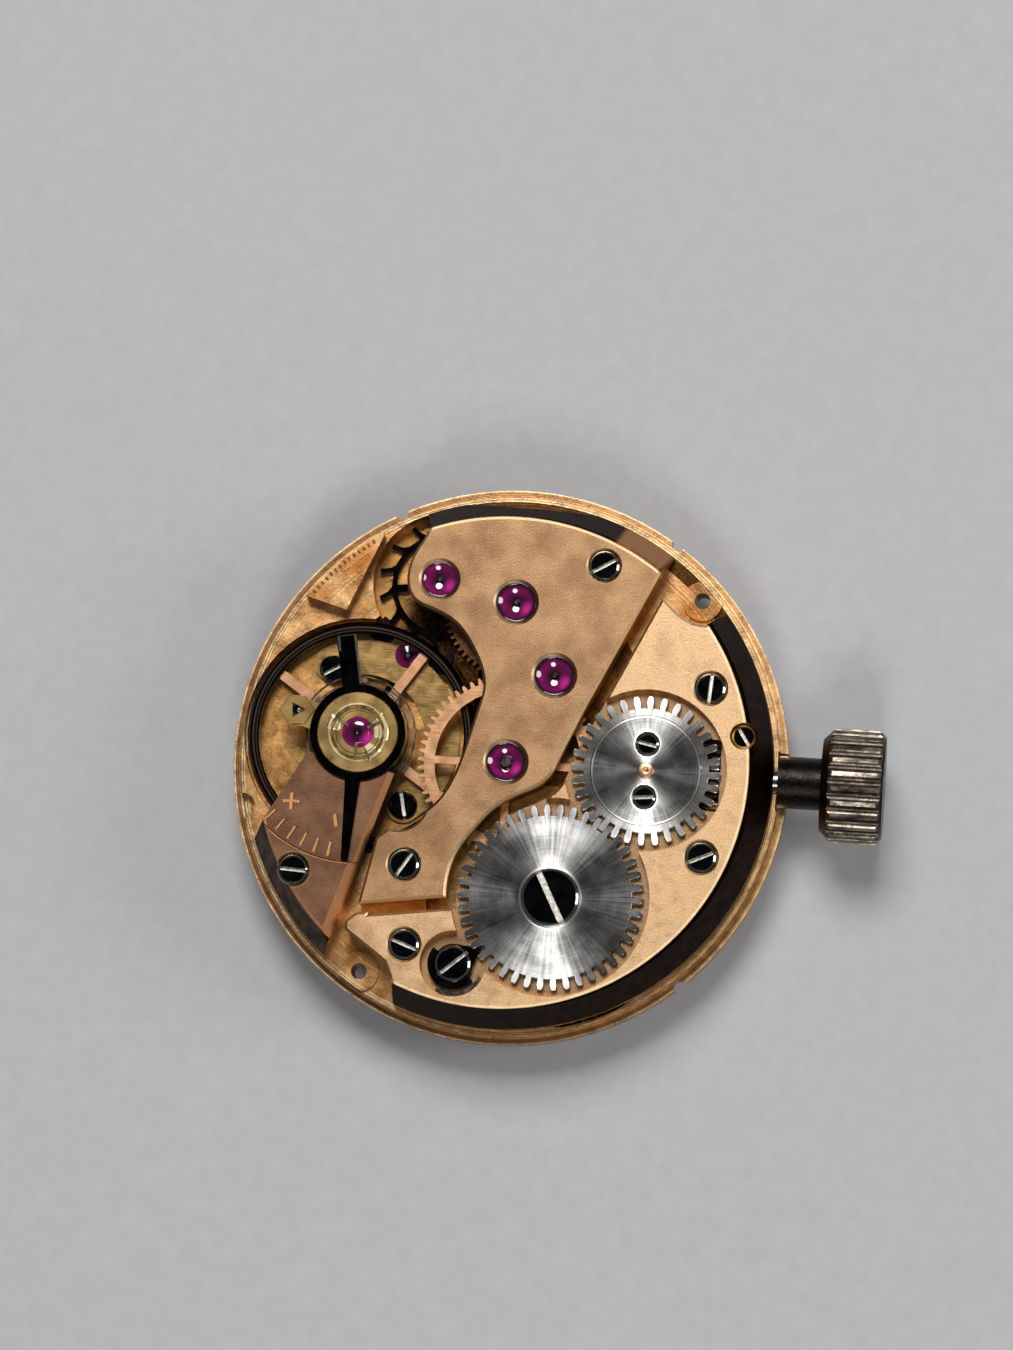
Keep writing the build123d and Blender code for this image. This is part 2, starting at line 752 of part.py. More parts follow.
# Main plate
with BuildPart() as main_plate:
    with BuildSketch(Plane.XZ):
        with BuildLine():
            Polyline(
                (0, 0),
                (plate_radius, 0),
                (plate_radius, flange_thickness),
                (plate_body_radius, flange_thickness),
                (plate_body_radius, plate_thickness),
                (0, plate_thickness),
                close=True,
            )
        make_face()
    revolve(axis=Axis.Z)

    # The raised island beside the escape wheel, and the bosses of the case screws
    with BuildSketch(Plane.XY.offset(plate_thickness)):
        Polygon(*outline(island_shares))
        Circle(bridge_radius, mode=Mode.INTERSECT)
    extrude(amount=island_height)
    with BuildSketch(Plane.XY.offset(plate_thickness)):
        with Locations(*case_holes_at):
            Circle(case_boss_radius)
        Circle(plate_body_radius - wheel_gap, mode=Mode.INTERSECT)
    extrude(amount=case_boss_height)

    # Recesses for the barrel, the train, the escapement and the balance
    post(barrel_at, barrel_tip + recess_clearance, barrel_seat, movement_height, cut)
    post(centre_at, centre_pinion_pitch + barrel_module + recess_clearance, barrel_seat, movement_height, cut)
    post(third_at, third_tip + recess_clearance, third_floor, movement_height, cut)
    post(fourth_at, fourth_pinion_pitch + third_module + recess_clearance, fourth_floor, movement_height, cut)
    post(escape_at, escape_tip_radius + recess_clearance, escape_floor, movement_height, cut)
    post(balance_at, balance_radius + recess_clearance, pallet_bridge_height, movement_height, cut)
    post(balance_at, roller_radius + recess_clearance, escape_floor, movement_height, cut)
    post(pallet_at, pallet_recess_radius, escape_floor, movement_height, cut)
    with BuildSketch(level(pallet_at, escape_floor).rotated((0, 0, fork_angle))):
        with Locations((fork_reach / 2, 0)):
            Rectangle(fork_reach, fork_channel_width)
    extrude(amount=movement_height, mode=cut)

    # Recesses for the motion work and the keyless work, cut from the dial side, with the wheels' studs
    post(centre_at, hour_pitch + motion_module + recess_clearance, 0, motion_ceiling, cut)
    post(minute_at, minute_pitch + motion_module + recess_clearance, 0, motion_ceiling, cut)
    post(setting_wheel_at, setting_pitch + motion_module + recess_clearance, 0, motion_ceiling, cut)
    with BuildSketch() as keyless:
        Polygon(*outline(keyless_shares))
        fillet(keyless.vertices(), keyless_corner_radius)
    extrude(amount=motion_ceiling, mode=cut)
    post(minute_at, stud_radius, dial_gap, motion_ceiling)
    post(setting_wheel_at, stud_radius, dial_gap, motion_ceiling)

    # The stem's tunnel: pilot hole, pockets for the two pinions, bearing in the edge, slot for the lever pin
    slab(pocket_start, pocket_end, sliding_pinion_radius + recess_clearance, 0, movement_height, cut)
    slab(
        winding_pinion_place - wheel_gap,
        pocket_end,
        winding_pinion_radius + recess_clearance,
        0,
        movement_height,
        cut,
    )
    rod(stem_pilot_place, stem_pilot_radius + running_clearance, pocket_start + overrun, cut)
    rod(pocket_end - wheel_gap, stem_journal_radius + running_clearance, plate_radius + overrun, cut)
    slab(
        stem_groove_place - recess_clearance,
        stem_groove_place + stem_groove_width + crown_travel + recess_clearance,
        lever_pin_radius + recess_clearance,
        0,
        stem_height,
        cut,
    )

    # Notches in the rim, and the room for the crown's neck
    for angle in rim_notch_angles:
        post(along(centre_at, angle, plate_radius), rim_notch_radius, 0, plate_thickness, cut)
    key_notch_at = along(centre_at, key_notch_angle, plate_body_radius)
    post(key_notch_at, key_notch_radius, flange_thickness, plate_thickness, cut)
    slab(
        plate_radius - stem_notch_depth,
        plate_radius + overrun,
        crown_neck_radius + recess_clearance,
        stem_height - crown_neck_radius - recess_clearance,
        plate_thickness,
        cut,
    )

    # Holes for screws, jewels, the arbor, the lower shock setting and the dial's feet
    for place, _ in train_screws_at + barrel_screws_at + cock_screws_at:
        post(place, screw_shank_radius + running_clearance, screw_bottom, movement_height, cut)
    pallet_screw_bottom = pallet_bridge_height - screw_depth
    for place, _ in pallet_screws_at:
        post(place, screw_shank_radius + running_clearance, pallet_screw_bottom, movement_height, cut)
    post(lever_screw_at, lever_screw_shank_radius + running_clearance, 0, movement_height, cut)
    for share in jumper_screw_shares:
        post(spot(share), jumper_shank_radius, 0, keyless_bottom + jumper_screw_length, cut)
    post(yoke_pivot_at, yoke_pivot_radius, motion_ceiling, motion_ceiling + barrel_web, cut)
    for place in case_holes_at:
        post(place, case_screw_radius, 0, movement_height, cut)
    post(centre_at, centre_jewel_radius, 0, barrel_seat, cut)
    for place, floor in ((third_at, third_floor), (fourth_at, fourth_floor), (escape_at, escape_floor)):
        post(place, lower_jewel_radius, floor - jewel_set_back - jewel_thickness, floor, cut)
    post(pallet_at, pallet_jewel_radius, escape_floor - jewel_set_back - jewel_thickness, escape_floor, cut)
    post(balance_at, shock_radius, 0, escape_floor, cut)
    post(barrel_at, arbor_pivot_radius + running_clearance, 0, barrel_seat, cut)
    head_seat = plate_radius - dial_screw_head_height
    for share in dial_foot_shares:
        foot = spot(share)
        post(foot, dial_foot_radius, 0, dial_foot_depth, cut)
        foot_bore(foot, dial_screw_radius, reach(centre_at, foot), plate_radius + overrun, cut)
        foot_bore(foot, dial_screw_head_radius, head_seat, plate_radius + overrun, cut)

# Train bridge
with BuildPart() as train_bridge:
    with BuildSketch(Plane.XY.offset(plate_thickness)) as train_sketch:
        with BuildLine():
            corner = outline(train_corner_shares)
            head = outline(train_head_shares)
            nose = outline(train_nose_shares)
            flank = outline(train_flank_shares)
            foot_points = outline(train_foot_shares)
            lip = outline(train_lip_shares)
            Polyline(*corner, *head)
            Spline(head[-1], *nose, *flank)
            notch_reach = reach(pallet_screws_at[1][0], flank[-1])
            notch_middle = along(pallet_screws_at[1][0], notch_direction, notch_reach)
            ThreePointArc(flank[-1], notch_middle, foot_points[0])
            Polyline(*foot_points)
            Spline(foot_points[-1], *lip)
            Line(lip[-1], corner[0])
        make_face()
    extrude(amount=movement_height - plate_thickness)
    chamfer(train_bridge.faces().sort_by(Axis.Z)[-1].edges(), edge_bevel)
    add(bridge_blank(), mode=Mode.INTERSECT)
    for place, radius, top in (
        (fourth_at, fourth_tip, fourth_wheel_height + train_wheel_thickness),
        (centre_at, centre_tip, centre_wheel_top),
        (barrel_at, barrel_drum_radius, barrel_top),
        (balance_at, balance_radius, balance_top),
        (third_at, third_pinion_pitch + centre_module, third_pinion_top),
        (escape_at, escape_pinion_pitch + fourth_module, escape_pinion_top),
    ):
        post(place, radius + recess_clearance, 0, top + wheel_gap, cut)
    for place, radius in (
        (centre_at, train_jewel_radius),
        (third_at, train_jewel_radius),
        (fourth_at, train_jewel_radius),
        (escape_at, escape_jewel_radius),
    ):
        post(place, centre_arbor_radius, 0, jewel_bottom, cut)
        jewel_seat(place, radius, movement_height, jewel_bottom)
    for place, _ in train_screws_at:
        screw_hole(place, movement_height)

# Barrel bridge
with BuildPart() as barrel_bridge:
    with BuildSketch(Plane.XY.offset(plate_thickness)):
        Polygon(
            *outline(
                barrel_top_shares,
                barrel_rim_shares,
                barrel_tail_shares,
                barrel_back_shares,
            )
        )
        with Locations((bridge_gap, -bridge_gap)):
            add(train_sketch.sketch_local, mode=cut)
    extrude(amount=movement_height - plate_thickness)
    chamfer(barrel_bridge.faces().sort_by(Axis.Z)[-1].edges(), edge_bevel)
    add(bridge_blank(), mode=Mode.INTERSECT)
    post(barrel_at, ratchet_tip_radius + winding_recess_margin, winding_floor, movement_height, cut)
    post(crown_wheel_at, crown_wheel_tip_radius + winding_recess_margin, winding_floor, movement_height, cut)
    post(click_at, click_sink_radius, winding_floor, movement_height, cut)
    post(barrel_at, barrel_drum_radius + recess_clearance, 0, barrel_top + wheel_gap, cut)
    post(centre_at, centre_tip + recess_clearance, 0, centre_wheel_top + wheel_gap, cut)
    post(barrel_at, arbor_pivot_radius + running_clearance, 0, movement_height, cut)
    sliding_top = stem_height + sliding_pinion_radius + wheel_gap
    slab(pocket_start, pocket_end, sliding_pinion_radius + recess_clearance, 0, sliding_top, cut)
    slab(
        winding_pinion_place - wheel_gap,
        pocket_end,
        winding_pinion_radius + recess_clearance,
        0,
        stem_height + winding_pinion_radius + recess_clearance,
        cut,
    )
    rod(stem_pilot_place, stem_pilot_radius + running_clearance, pocket_start + overrun, cut)
    rod(pocket_end - wheel_gap, stem_journal_radius + running_clearance, plate_radius + overrun, cut)
    for place, _ in barrel_screws_at:
        screw_hole(place, movement_height)
    post(lever_screw_at, lever_screw_head_radius + running_clearance, 0, movement_height, cut)
    post(click_at, screw_shank_radius, 0, movement_height, cut)
    for place in core_screws_at:
        post(place, core_shank_radius, 0, movement_height, cut)

# Balance cock
with BuildPart() as balance_cock:
    with BuildSketch(Plane.XY.offset(plate_thickness)):
        Polygon(*outline(cock_shares))
    extrude(amount=movement_height - plate_thickness)
    post(balance_at, cock_head_radius, plate_thickness, movement_height)
    add(bridge_blank(), mode=Mode.INTERSECT)
    post(balance_at, balance_radius + recess_clearance, 0, cock_underside_height, cut)
    edge_start, edge_end = outline(cock_edge_shares)
    edge_middle = ((edge_start[0] + edge_end[0]) / 2, (edge_start[1] + edge_end[1]) / 2, movement_height)
    edge_line = Location(edge_middle, (0, 0, bearing(edge_start, edge_end)))
    bevel_side = cock_bevel * math.sqrt(2)
    with Locations(edge_line * Location((0, 0, 0), (45, 0, 0))):
        Box(reach(edge_start, edge_end), bevel_side, bevel_side, mode=cut)
    post(balance_at, cock_sink_radius, cock_sink_height, movement_height, cut)
    post(balance_at, cock_ring_seat, cock_sink_height - stud_plate_thickness, movement_height, cut)
    post(balance_at, shock_radius, 0, movement_height, cut)
    for place, _ in cock_screws_at:
        screw_hole(place, movement_height)

# Pallet bridge, a curved band between its two screws, with the pallet jewel in it
upper_angle, lower_angle = (bearing(balance_at, place) for place, _ in pallet_screws_at)
band_radius = reach(balance_at, pallet_screws_at[1][0])
band_line = CenterArc((0, 0), band_radius, lower_angle, upper_angle - lower_angle)
with BuildPart() as pallet_bridge:
    with BuildSketch(level(balance_at, pallet_bridge_height)):
        SlotArc(band_line, pallet_bridge_width)
    with BuildSketch(level(pallet_at, pallet_bridge_height)):
        Circle(pallet_boss_radius)
    extrude(amount=pallet_bridge_thickness)
    for place, _ in pallet_screws_at:
        post(place, screw_shank_radius + running_clearance, 0, movement_height, cut)
    post(pallet_at, pallet_jewel_radius, 0, movement_height, cut)

# Fasteners
with BuildPart() as bridge_screws:
    for place, turn in train_screws_at + barrel_screws_at + cock_screws_at:
        slotted_screw(
            place,
            movement_height - screw_sink,
            screw_head_radius,
            screw_head_height - screw_sink,
            screw_shank_radius,
            screw_bottom,
            turn,
        )

with BuildPart() as pallet_bridge_screws:
    for place, turn in pallet_screws_at:
        slotted_screw(
            place,
            balance_arm_bottom - wheel_gap,
            pallet_screw_head_radius,
            balance_arm_bottom - wheel_gap - pallet_bridge_top,
            screw_shank_radius,
            pallet_screw_bottom,
            turn,
        )

with BuildPart() as crown_wheel_screws:
    for place, turn in zip(core_screws_at, core_slot_angles):
        slotted_screw(
            place,
            winding_wheel_top + wheel_gap,
            core_screw_radius,
            slot_depth + screw_crown,
            core_shank_radius,
            barrel_top + wheel_gap * 2,
            turn,
        )

with BuildPart() as ratchet_screw:
    slotted_screw(
        barrel_at,
        winding_wheel_top + ratchet_screw_height,
        ratchet_screw_radius,
        ratchet_screw_height,
        screw_shank_radius,
        barrel_top,
        ratchet_slot_angle,
        ratchet_slot_width,
    )

click_bottom = winding_wheel_bottom
click_top = click_bottom + click_thickness
with BuildPart() as click_screw:
    slotted_screw(
        click_at,
        movement_height - screw_sink,
        click_head_radius,
        movement_height - screw_sink - click_top,
        screw_shank_radius,
        barrel_top + wheel_gap * 2,
        click_slot_angle,
    )

with BuildPart() as setting_lever_screw:
    slotted_screw(
        lever_screw_at,
        movement_height - lever_screw_drop,
        lever_screw_head_radius,
        screw_head_height,
        lever_screw_shank_radius,
        keyless_bottom,
        lever_slot_angle,
    )

with BuildPart() as keyless_screws:
    for share in jumper_screw_shares:
        post(spot(share), jumper_screw_radius, dial_gap, dial_gap + jumper_thickness)
        post(spot(share), jumper_shank_radius, dial_gap, keyless_bottom + jumper_screw_length)
        with Locations((*spot(share), dial_gap)):
            Box(jumper_screw_radius * 2 + overrun, slot_width, jumper_thickness, mode=cut)

with BuildPart() as dial_screws:
    for share in dial_foot_shares:
        foot = spot(share)
        foot_bore(foot, dial_screw_radius, reach(centre_at, foot) + dial_foot_radius, head_seat)
        foot_bore(foot, dial_screw_head_radius - running_clearance, head_seat, plate_radius - screw_sink)

# Jewels
with BuildPart() as upper_train_jewels:
    for place, radius, pivot in (
        (centre_at, train_jewel_radius, centre_pivot_radius),
        (third_at, train_jewel_radius, pivot_radius),
        (fourth_at, train_jewel_radius, pivot_radius),
        (escape_at, escape_jewel_radius, pivot_radius),
    ):
        hole_jewel(place, radius, jewel_top, jewel_thickness, pivot=pivot)

with BuildPart() as lower_train_jewels:
    for place, floor in ((third_at, third_floor), (fourth_at, fourth_floor), (escape_at, escape_floor)):
        hole_jewel(place, lower_jewel_radius, floor - jewel_set_back, jewel_thickness, up=False)
    post(centre_at, centre_jewel_radius, motion_ceiling, barrel_seat)
    post(centre_at, centre_arbor_radius + pivot_clearance, 0, barrel_seat, cut)

with BuildPart() as pallet_jewels:
    hole_jewel(pallet_at, pallet_jewel_radius, pallet_bridge_top, pallet_bridge_thickness)
    hole_jewel(pallet_at, pallet_jewel_radius, escape_floor - jewel_set_back, jewel_thickness, up=False)


def depths(face, inward, shallow, deep):
    """Two heights, lower one first, from depths below the face of a setting."""
    return sorted((face + inward * shallow, face + inward * deep))


# Shock settings of the balance: a block, a chaton in it, two jewels and a lyre spring, above and below
shock_faces = ((movement_height, -1), (dial_gap, 1))
shock_bottom = shock_depth - shock_floor
cap_start = lyre_thickness
cap_end = cap_start + cap_jewel_thickness
hole_jewel_start = cap_end + dial_gap
hole_jewel_end = hole_jewel_start + hole_jewel_thickness
with BuildPart() as shock_settings:
    post(balance_at, shock_flange_radius, cock_sink_height, movement_height)
    for face, inward in shock_faces:
        post(balance_at, shock_radius, *depths(face, inward, 0, shock_depth))
        post(balance_at, shock_radius - shock_rim, *depths(face, inward, 0, lyre_thickness), cut)
        post(balance_at, chaton_radius + running_clearance, *depths(face, inward, 0, shock_bottom), cut)
        post(balance_at, shock_bore, *depths(face, inward, 0, shock_depth), cut)
        post(balance_at, chaton_radius, *depths(face, inward, cap_start, shock_bottom))
        post(balance_at, cap_jewel_radius, *depths(face, inward, 0, cap_end), cut)
        post(balance_at, hole_jewel_radius, *depths(face, inward, 0, shock_bottom), cut)

with BuildPart() as shock_jewels:
    for face, inward in shock_faces:
        post(balance_at, cap_jewel_radius, *depths(face, inward, cap_start, cap_end))
        jewel_span = depths(face, inward, hole_jewel_start, hole_jewel_end)
        post(balance_at, hole_jewel_radius, *jewel_span)
        post(balance_at, pivot_radius + pivot_clearance, *jewel_span, cut)

lyre_radius = shock_radius - shock_rim - running_clearance
lyre_tip = cap_jewel_radius * lyre_prong_share
prong_length = lyre_radius - lyre_width / 2 - lyre_tip
with BuildPart() as shock_springs:
    for face, inward in shock_faces:
        with BuildSketch(level(balance_at, min(face, face + inward * lyre_thickness))):
            Circle(lyre_radius)
            Circle(lyre_radius - lyre_width, mode=cut)
            with PolarLocations(lyre_tip, lyre_prongs, start_angle=regulator_angle):
                Rectangle(prong_length, lyre_width, align=(Align.MIN, Align.CENTER))
        extrude(amount=lyre_thickness)

# Winding work
core_seat = winding_wheel_top - core_plate_thickness
core_top = winding_wheel_top + running_clearance
with BuildPart() as crown_wheel:
    with BuildSketch(level(crown_wheel_at, winding_wheel_bottom)):
        crown_wheel_radii = (crown_wheel_root_radius, crown_wheel_tip_radius)
        Polygon(*tooth_points(crown_wheel_teeth, *crown_wheel_radii, crown_wheel_phase))
        Circle(core_hub_radius + running_clearance, mode=cut)
    extrude(amount=winding_wheel_thickness)
    post(crown_wheel_at, core_plate_radius + running_clearance, core_seat, movement_height, cut)

with BuildPart() as crown_wheel_core:
    post(crown_wheel_at, core_hub_radius, winding_floor, core_seat + running_clearance)
    post(crown_wheel_at, core_plate_radius, core_seat + running_clearance, core_top)
    for place in core_screws_at:
        post(place, core_shank_radius, winding_floor, movement_height, cut)
        post(
            place,
            core_screw_radius + running_clearance,
            winding_wheel_top + wheel_gap - slot_depth - screw_crown,
            movement_height,
            cut,
        )

with BuildPart() as ratchet_wheel:
    with BuildSketch(level(barrel_at, winding_wheel_bottom)):
        Polygon(*tooth_points(ratchet_teeth, ratchet_root_radius, ratchet_tip_radius, ratchet_phase))
        Rectangle(arbor_square, arbor_square, mode=cut)
    extrude(amount=winding_wheel_thickness)

with BuildPart() as click:
    with BuildSketch(level(click_at, winding_wheel_bottom)):
        Circle(click_radius)
        Polygon(
            along((0, 0), beak_angle + click_shoulder_angles[0], click_radius),
            along((0, 0), beak_angle, click_beak_length),
            along((0, 0), beak_angle + click_shoulder_angles[1], click_radius),
        )
        with BuildSketch(Plane.XY, mode=Mode.PRIVATE) as half_disc:
            Circle(click_disc_radius)
            with Locations(Location((0, 0), click_disc_angle)):
                Rectangle(click_disc_radius, click_disc_radius * 2, align=(Align.MIN, Align.CENTER), mode=cut)
        add(half_disc.sketch)
        Circle(screw_shank_radius + running_clearance, mode=cut)
    extrude(amount=click_thickness)

click_spring_radius = click_sink_radius - click_spring_width
click_spring_line = CenterArc((0, 0), click_spring_radius, click_spring_start, click_spring_sweep)
with BuildPart() as click_spring:
    with BuildSketch(level(click_at, winding_wheel_bottom)):
        SlotArc(click_spring_line, click_spring_width)
        with Locations(along((0, 0), click_spring_start, click_spring_radius)):
            Circle(click_spring_width)
    extrude(amount=click_thickness)

# Barrel
with BuildPart() as barrel_drum:
    with BuildSketch(level(barrel_at, barrel_bottom)):
        Polygon(*wheel_points(barrel_teeth, barrel_pitch, barrel_module, barrel_phase))
    extrude(amount=barrel_tooth_height)
    post(barrel_at, barrel_drum_radius, barrel_bottom, barrel_top)
    post(barrel_at, barrel_drum_radius - barrel_wall, barrel_bottom + barrel_floor, barrel_top, cut)
    cover_radius = barrel_drum_radius - barrel_wall / 2
    post(barrel_at, cover_radius, barrel_top - barrel_cover_thickness, barrel_top, cut)
    post(barrel_at, arbor_pivot_radius + running_clearance, 0, barrel_top, cut)

with BuildPart() as barrel_cover:
    post(barrel_at, cover_radius, barrel_top - barrel_cover_thickness, barrel_top)
    post(barrel_at, arbor_pivot_radius + running_clearance, 0, barrel_top, cut)

spring_inner = arbor_core_radius + mainspring_strip
spring_outer = barrel_drum_radius - barrel_wall - mainspring_strip
mainspring_pitch = (spring_outer - spring_inner) / mainspring_turns
mainspring_bottom = barrel_bottom + barrel_floor + wheel_gap / 2
mainspring_height = barrel_height - barrel_floor - barrel_cover_thickness - wheel_gap
mainspring = spiral(
    barrel_at,
    mainspring_bottom,
    mainspring_height,
    spring_inner,
    mainspring_pitch,
    mainspring_turns,
    mainspring_strip,
)

with BuildPart() as barrel_arbor:
    post(barrel_at, arbor_pivot_radius, keyless_bottom, winding_floor)
    post(barrel_at, arbor_core_radius, mainspring_bottom, mainspring_bottom + mainspring_height)
    with BuildSketch(level(barrel_at, winding_floor)):
        Rectangle(arbor_square, arbor_square)
    extrude(amount=winding_wheel_top - winding_floor)
    post(barrel_at, screw_shank_radius, barrel_top, movement_height, cut)

# Going train: each wheel's place, teeth, pitch radius, module, height, thickness, bore and turn
train_wheels = {
    "centre_wheel": (
        centre_at, centre_teeth, centre_pitch, centre_module, centre_wheel_bottom, centre_wheel_thickness,
        centre_arbor_radius, centre_phase,
    ),
    "third_wheel": (
        third_at, third_teeth, third_pitch, third_module, third_wheel_height, train_wheel_thickness,
        arbor_radius, third_pinion_phase,
    ),
    "fourth_wheel": (
        fourth_at, fourth_teeth, fourth_pitch, fourth_module, fourth_wheel_height, train_wheel_thickness,
        arbor_radius, fourth_pinion_phase,
    ),
}
pieces = {}
for name, sizes in train_wheels.items():
    pieces[name] = crossed_wheel(*sizes)

upper_shoulder = jewel_bottom - running_clearance
upper_tip = jewel_top - oil_sink_depth / 2
# Each pinion's place, leaves, pitch radius, lower and upper end of its leaves, turn, and the floor below it
train_pinions = {
    "third_pinion": (
        third_at, third_leaves, third_pinion_pitch, third_pinion_bottom, third_pinion_top, third_pinion_phase,
        third_floor,
    ),
    "fourth_pinion": (
        fourth_at, fourth_leaves, fourth_pinion_pitch, fourth_pinion_bottom, fourth_pinion_top,
        fourth_pinion_phase, fourth_floor,
    ),
    "escape_pinion": (
        escape_at, escape_leaves, escape_pinion_pitch, escape_pinion_bottom, escape_pinion_top,
        escape_pinion_phase, escape_floor,
    ),
}
for name, (place, leaves, pitch, bottom, top, phase, floor) in train_pinions.items():
    lower_tip = floor - jewel_set_back - jewel_thickness / 2
    ends = (lower_tip, floor + running_clearance, upper_shoulder, upper_tip)
    pieces[name] = leaf_pinion(place, leaves, pitch, bottom, top, phase, ends)

with BuildPart() as centre_arbor:
    with BuildSketch(level(centre_at, barrel_seat + running_clearance)):
        Polygon(*leaf_points(centre_leaves, centre_pinion_pitch, barrel_module, centre_pinion_phase))
    extrude(amount=barrel_teeth_top - barrel_seat)
    post(centre_at, centre_arbor_radius, motion_ceiling, centre_wheel_top)
    post(centre_at, centre_post_radius, dial_gap - cannon_length + cannon_cap, motion_ceiling)
    post(centre_at, centre_post_radius, centre_wheel_top, upper_shoulder)
    post(centre_at, centre_pivot_radius, upper_shoulder, upper_tip)

# Lever escapement
escape_phase = bearing(escape_at, pallet_at) + 180 / escape_teeth
escape_root = escape_tip_radius * escape_root_share
with BuildPart() as escape_wheel:
    with BuildSketch(level(escape_at, escape_wheel_height)):
        Polygon(
            *[
                along((0, 0), escape_phase + (number + turn) * 360 / escape_teeth, escape_tip_radius * share)
                for number in range(escape_teeth)
                for share, turn in club_shares
            ]
        )
        Circle(escape_root - escape_rim_width, mode=cut)
        with PolarLocations(0, escape_arms, start_angle=escape_phase):
            Rectangle(escape_root - escape_rim_width / 2, arm_width, align=(Align.MIN, Align.CENTER))
        Circle(hub_radius)
        Circle(arbor_radius, mode=cut)
    extrude(amount=escape_wheel_thickness)

# The pallets span two and a half teeth: a stone lies on each side of the line between the two axes
escape_angle = bearing(escape_at, pallet_at)
stone_places = []
stone_distance = escape_tip_radius + stone_length / 2 - stone_bite
for side in (1, -1):
    stone_at = along(escape_at, escape_angle + side * pallet_span_angle, stone_distance)
    stone_turn = escape_angle + side * stone_lean
    stone_places.append((stone_at, stone_turn))

fork_length = fork_reach - safety_roller_radius - running_clearance
with BuildPart() as pallet_fork:
    with BuildSketch(level(pallet_at, escape_wheel_height).rotated((0, 0, fork_angle))):
        Rectangle(fork_length, fork_arm_width, align=(Align.MIN, Align.CENTER))
        with Locations((fork_length, 0)):
            Rectangle(fork_head_length, fork_horn_width, align=(Align.MAX, Align.CENTER))
            Rectangle(fork_notch_depth, fork_notch_width, align=(Align.MAX, Align.CENTER), mode=cut)
        Circle(fork_horn_width / 2)
    with BuildSketch(Plane.XY.offset(escape_wheel_height)):
        for stone_at, stone_turn in stone_places:
            elbow = along(stone_at, stone_turn, stone_length * stone_grip_share)
            lever_arm(pallet_at, elbow, pallet_arm_width)
    extrude(amount=escape_wheel_thickness)
    for stone_at, stone_turn in stone_places:
        with Locations(Location((*stone_at, escape_wheel_height), (0, 0, stone_turn))):
            Box(
                stone_length,
                stone_width,
                escape_wheel_thickness,
                align=(Align.CENTER, Align.CENTER, Align.MIN),
                mode=cut,
            )
    post(pallet_at, arbor_radius, 0, movement_height, cut)

with BuildPart() as pallet_stones:
    for stone_at, stone_turn in stone_places:
        with Locations(Location((*stone_at, escape_wheel_height), (0, 0, stone_turn))):
            Box(
                stone_length,
                stone_width,
                escape_wheel_thickness,
                align=(Align.CENTER, Align.CENTER, Align.MIN),
            )

with BuildPart() as pallet_arbor:
    low_shoulder = escape_floor + running_clearance
    high_shoulder = pallet_bridge_height - running_clearance
    post(pallet_at, pivot_radius, escape_floor - jewel_set_back - jewel_thickness / 2, low_shoulder)
    post(pallet_at, arbor_radius, low_shoulder, high_shoulder)
    post(pallet_at, pivot_radius, high_shoulder, pallet_bridge_top - pivot_clearance)

# Balance
balance_arm_length = balance_radius - balance_rim_width / 2
with BuildPart() as balance_wheel:
    with BuildSketch(level(balance_at, balance_bottom)):
        Circle(balance_radius)
        Circle(balance_radius - balance_rim_width, mode=cut)
    extrude(amount=balance_rim_height)
    with BuildSketch(level(balance_at, balance_arm_bottom)):
        with PolarLocations(0, balance_arms, start_angle=balance_turn):
            Rectangle(balance_arm_length, balance_arm_width, align=(Align.MIN, Align.CENTER))
        Circle(balance_hub_radius)
        Circle(staff_radius, mode=cut)
    extrude(amount=balance_arm_thickness)
    chamfer(balance_wheel.edges().filter_by(GeomType.CIRCLE).group_by(SortBy.RADIUS)[-1], edge_bevel)

roller_bottom = escape_wheel_top + wheel_gap
roller_top = roller_bottom + roller_thickness
staff_low = shock_bottom + dial_gap
staff_low_tip = dial_gap + cap_end + pivot_clearance
staff_high = movement_height - shock_bottom
staff_high_tip = movement_height - cap_end - pivot_clearance
with BuildPart() as balance_staff:
    post(balance_at, pivot_radius, staff_low_tip, staff_low)
    post(balance_at, staff_neck_radius, staff_low, roller_top)
    post(balance_at, staff_radius, roller_top, hairspring_top)
    post(balance_at, staff_seat_radius, balance_arm_bottom - roller_thickness, balance_arm_bottom)
    post(balance_at, staff_neck_radius, hairspring_top, staff_high)
    post(balance_at, pivot_radius, staff_high, staff_high_tip)

impulse_at = along(balance_at, fork_angle + 180, impulse_distance)
with BuildPart() as roller:
    post(balance_at, roller_radius, roller_bottom, roller_top)
    post(balance_at, safety_roller_radius, escape_wheel_height, roller_bottom)
    post(balance_at, staff_neck_radius, 0, movement_height, cut)
    post(impulse_at, impulse_radius, 0, movement_height, cut)

with BuildPart() as impulse_jewel:
    post(impulse_at, impulse_radius, escape_wheel_height - running_clearance, roller_top)

with BuildPart() as collet:
    post(balance_at, collet_radius, hairspring_bottom, hairspring_top)
    post(balance_at, staff_radius, 0, movement_height, cut)

hairspring_inner = collet_radius + hairspring_strip / 2
hairspring_pitch = (hairspring_radius - hairspring_inner) / hairspring_turns
hairspring = spiral(
    balance_at,
    hairspring_bottom,
    hairspring_height,
    hairspring_inner,
    hairspring_pitch,
    hairspring_turns,
    hairspring_strip,
    stud_angle,
)

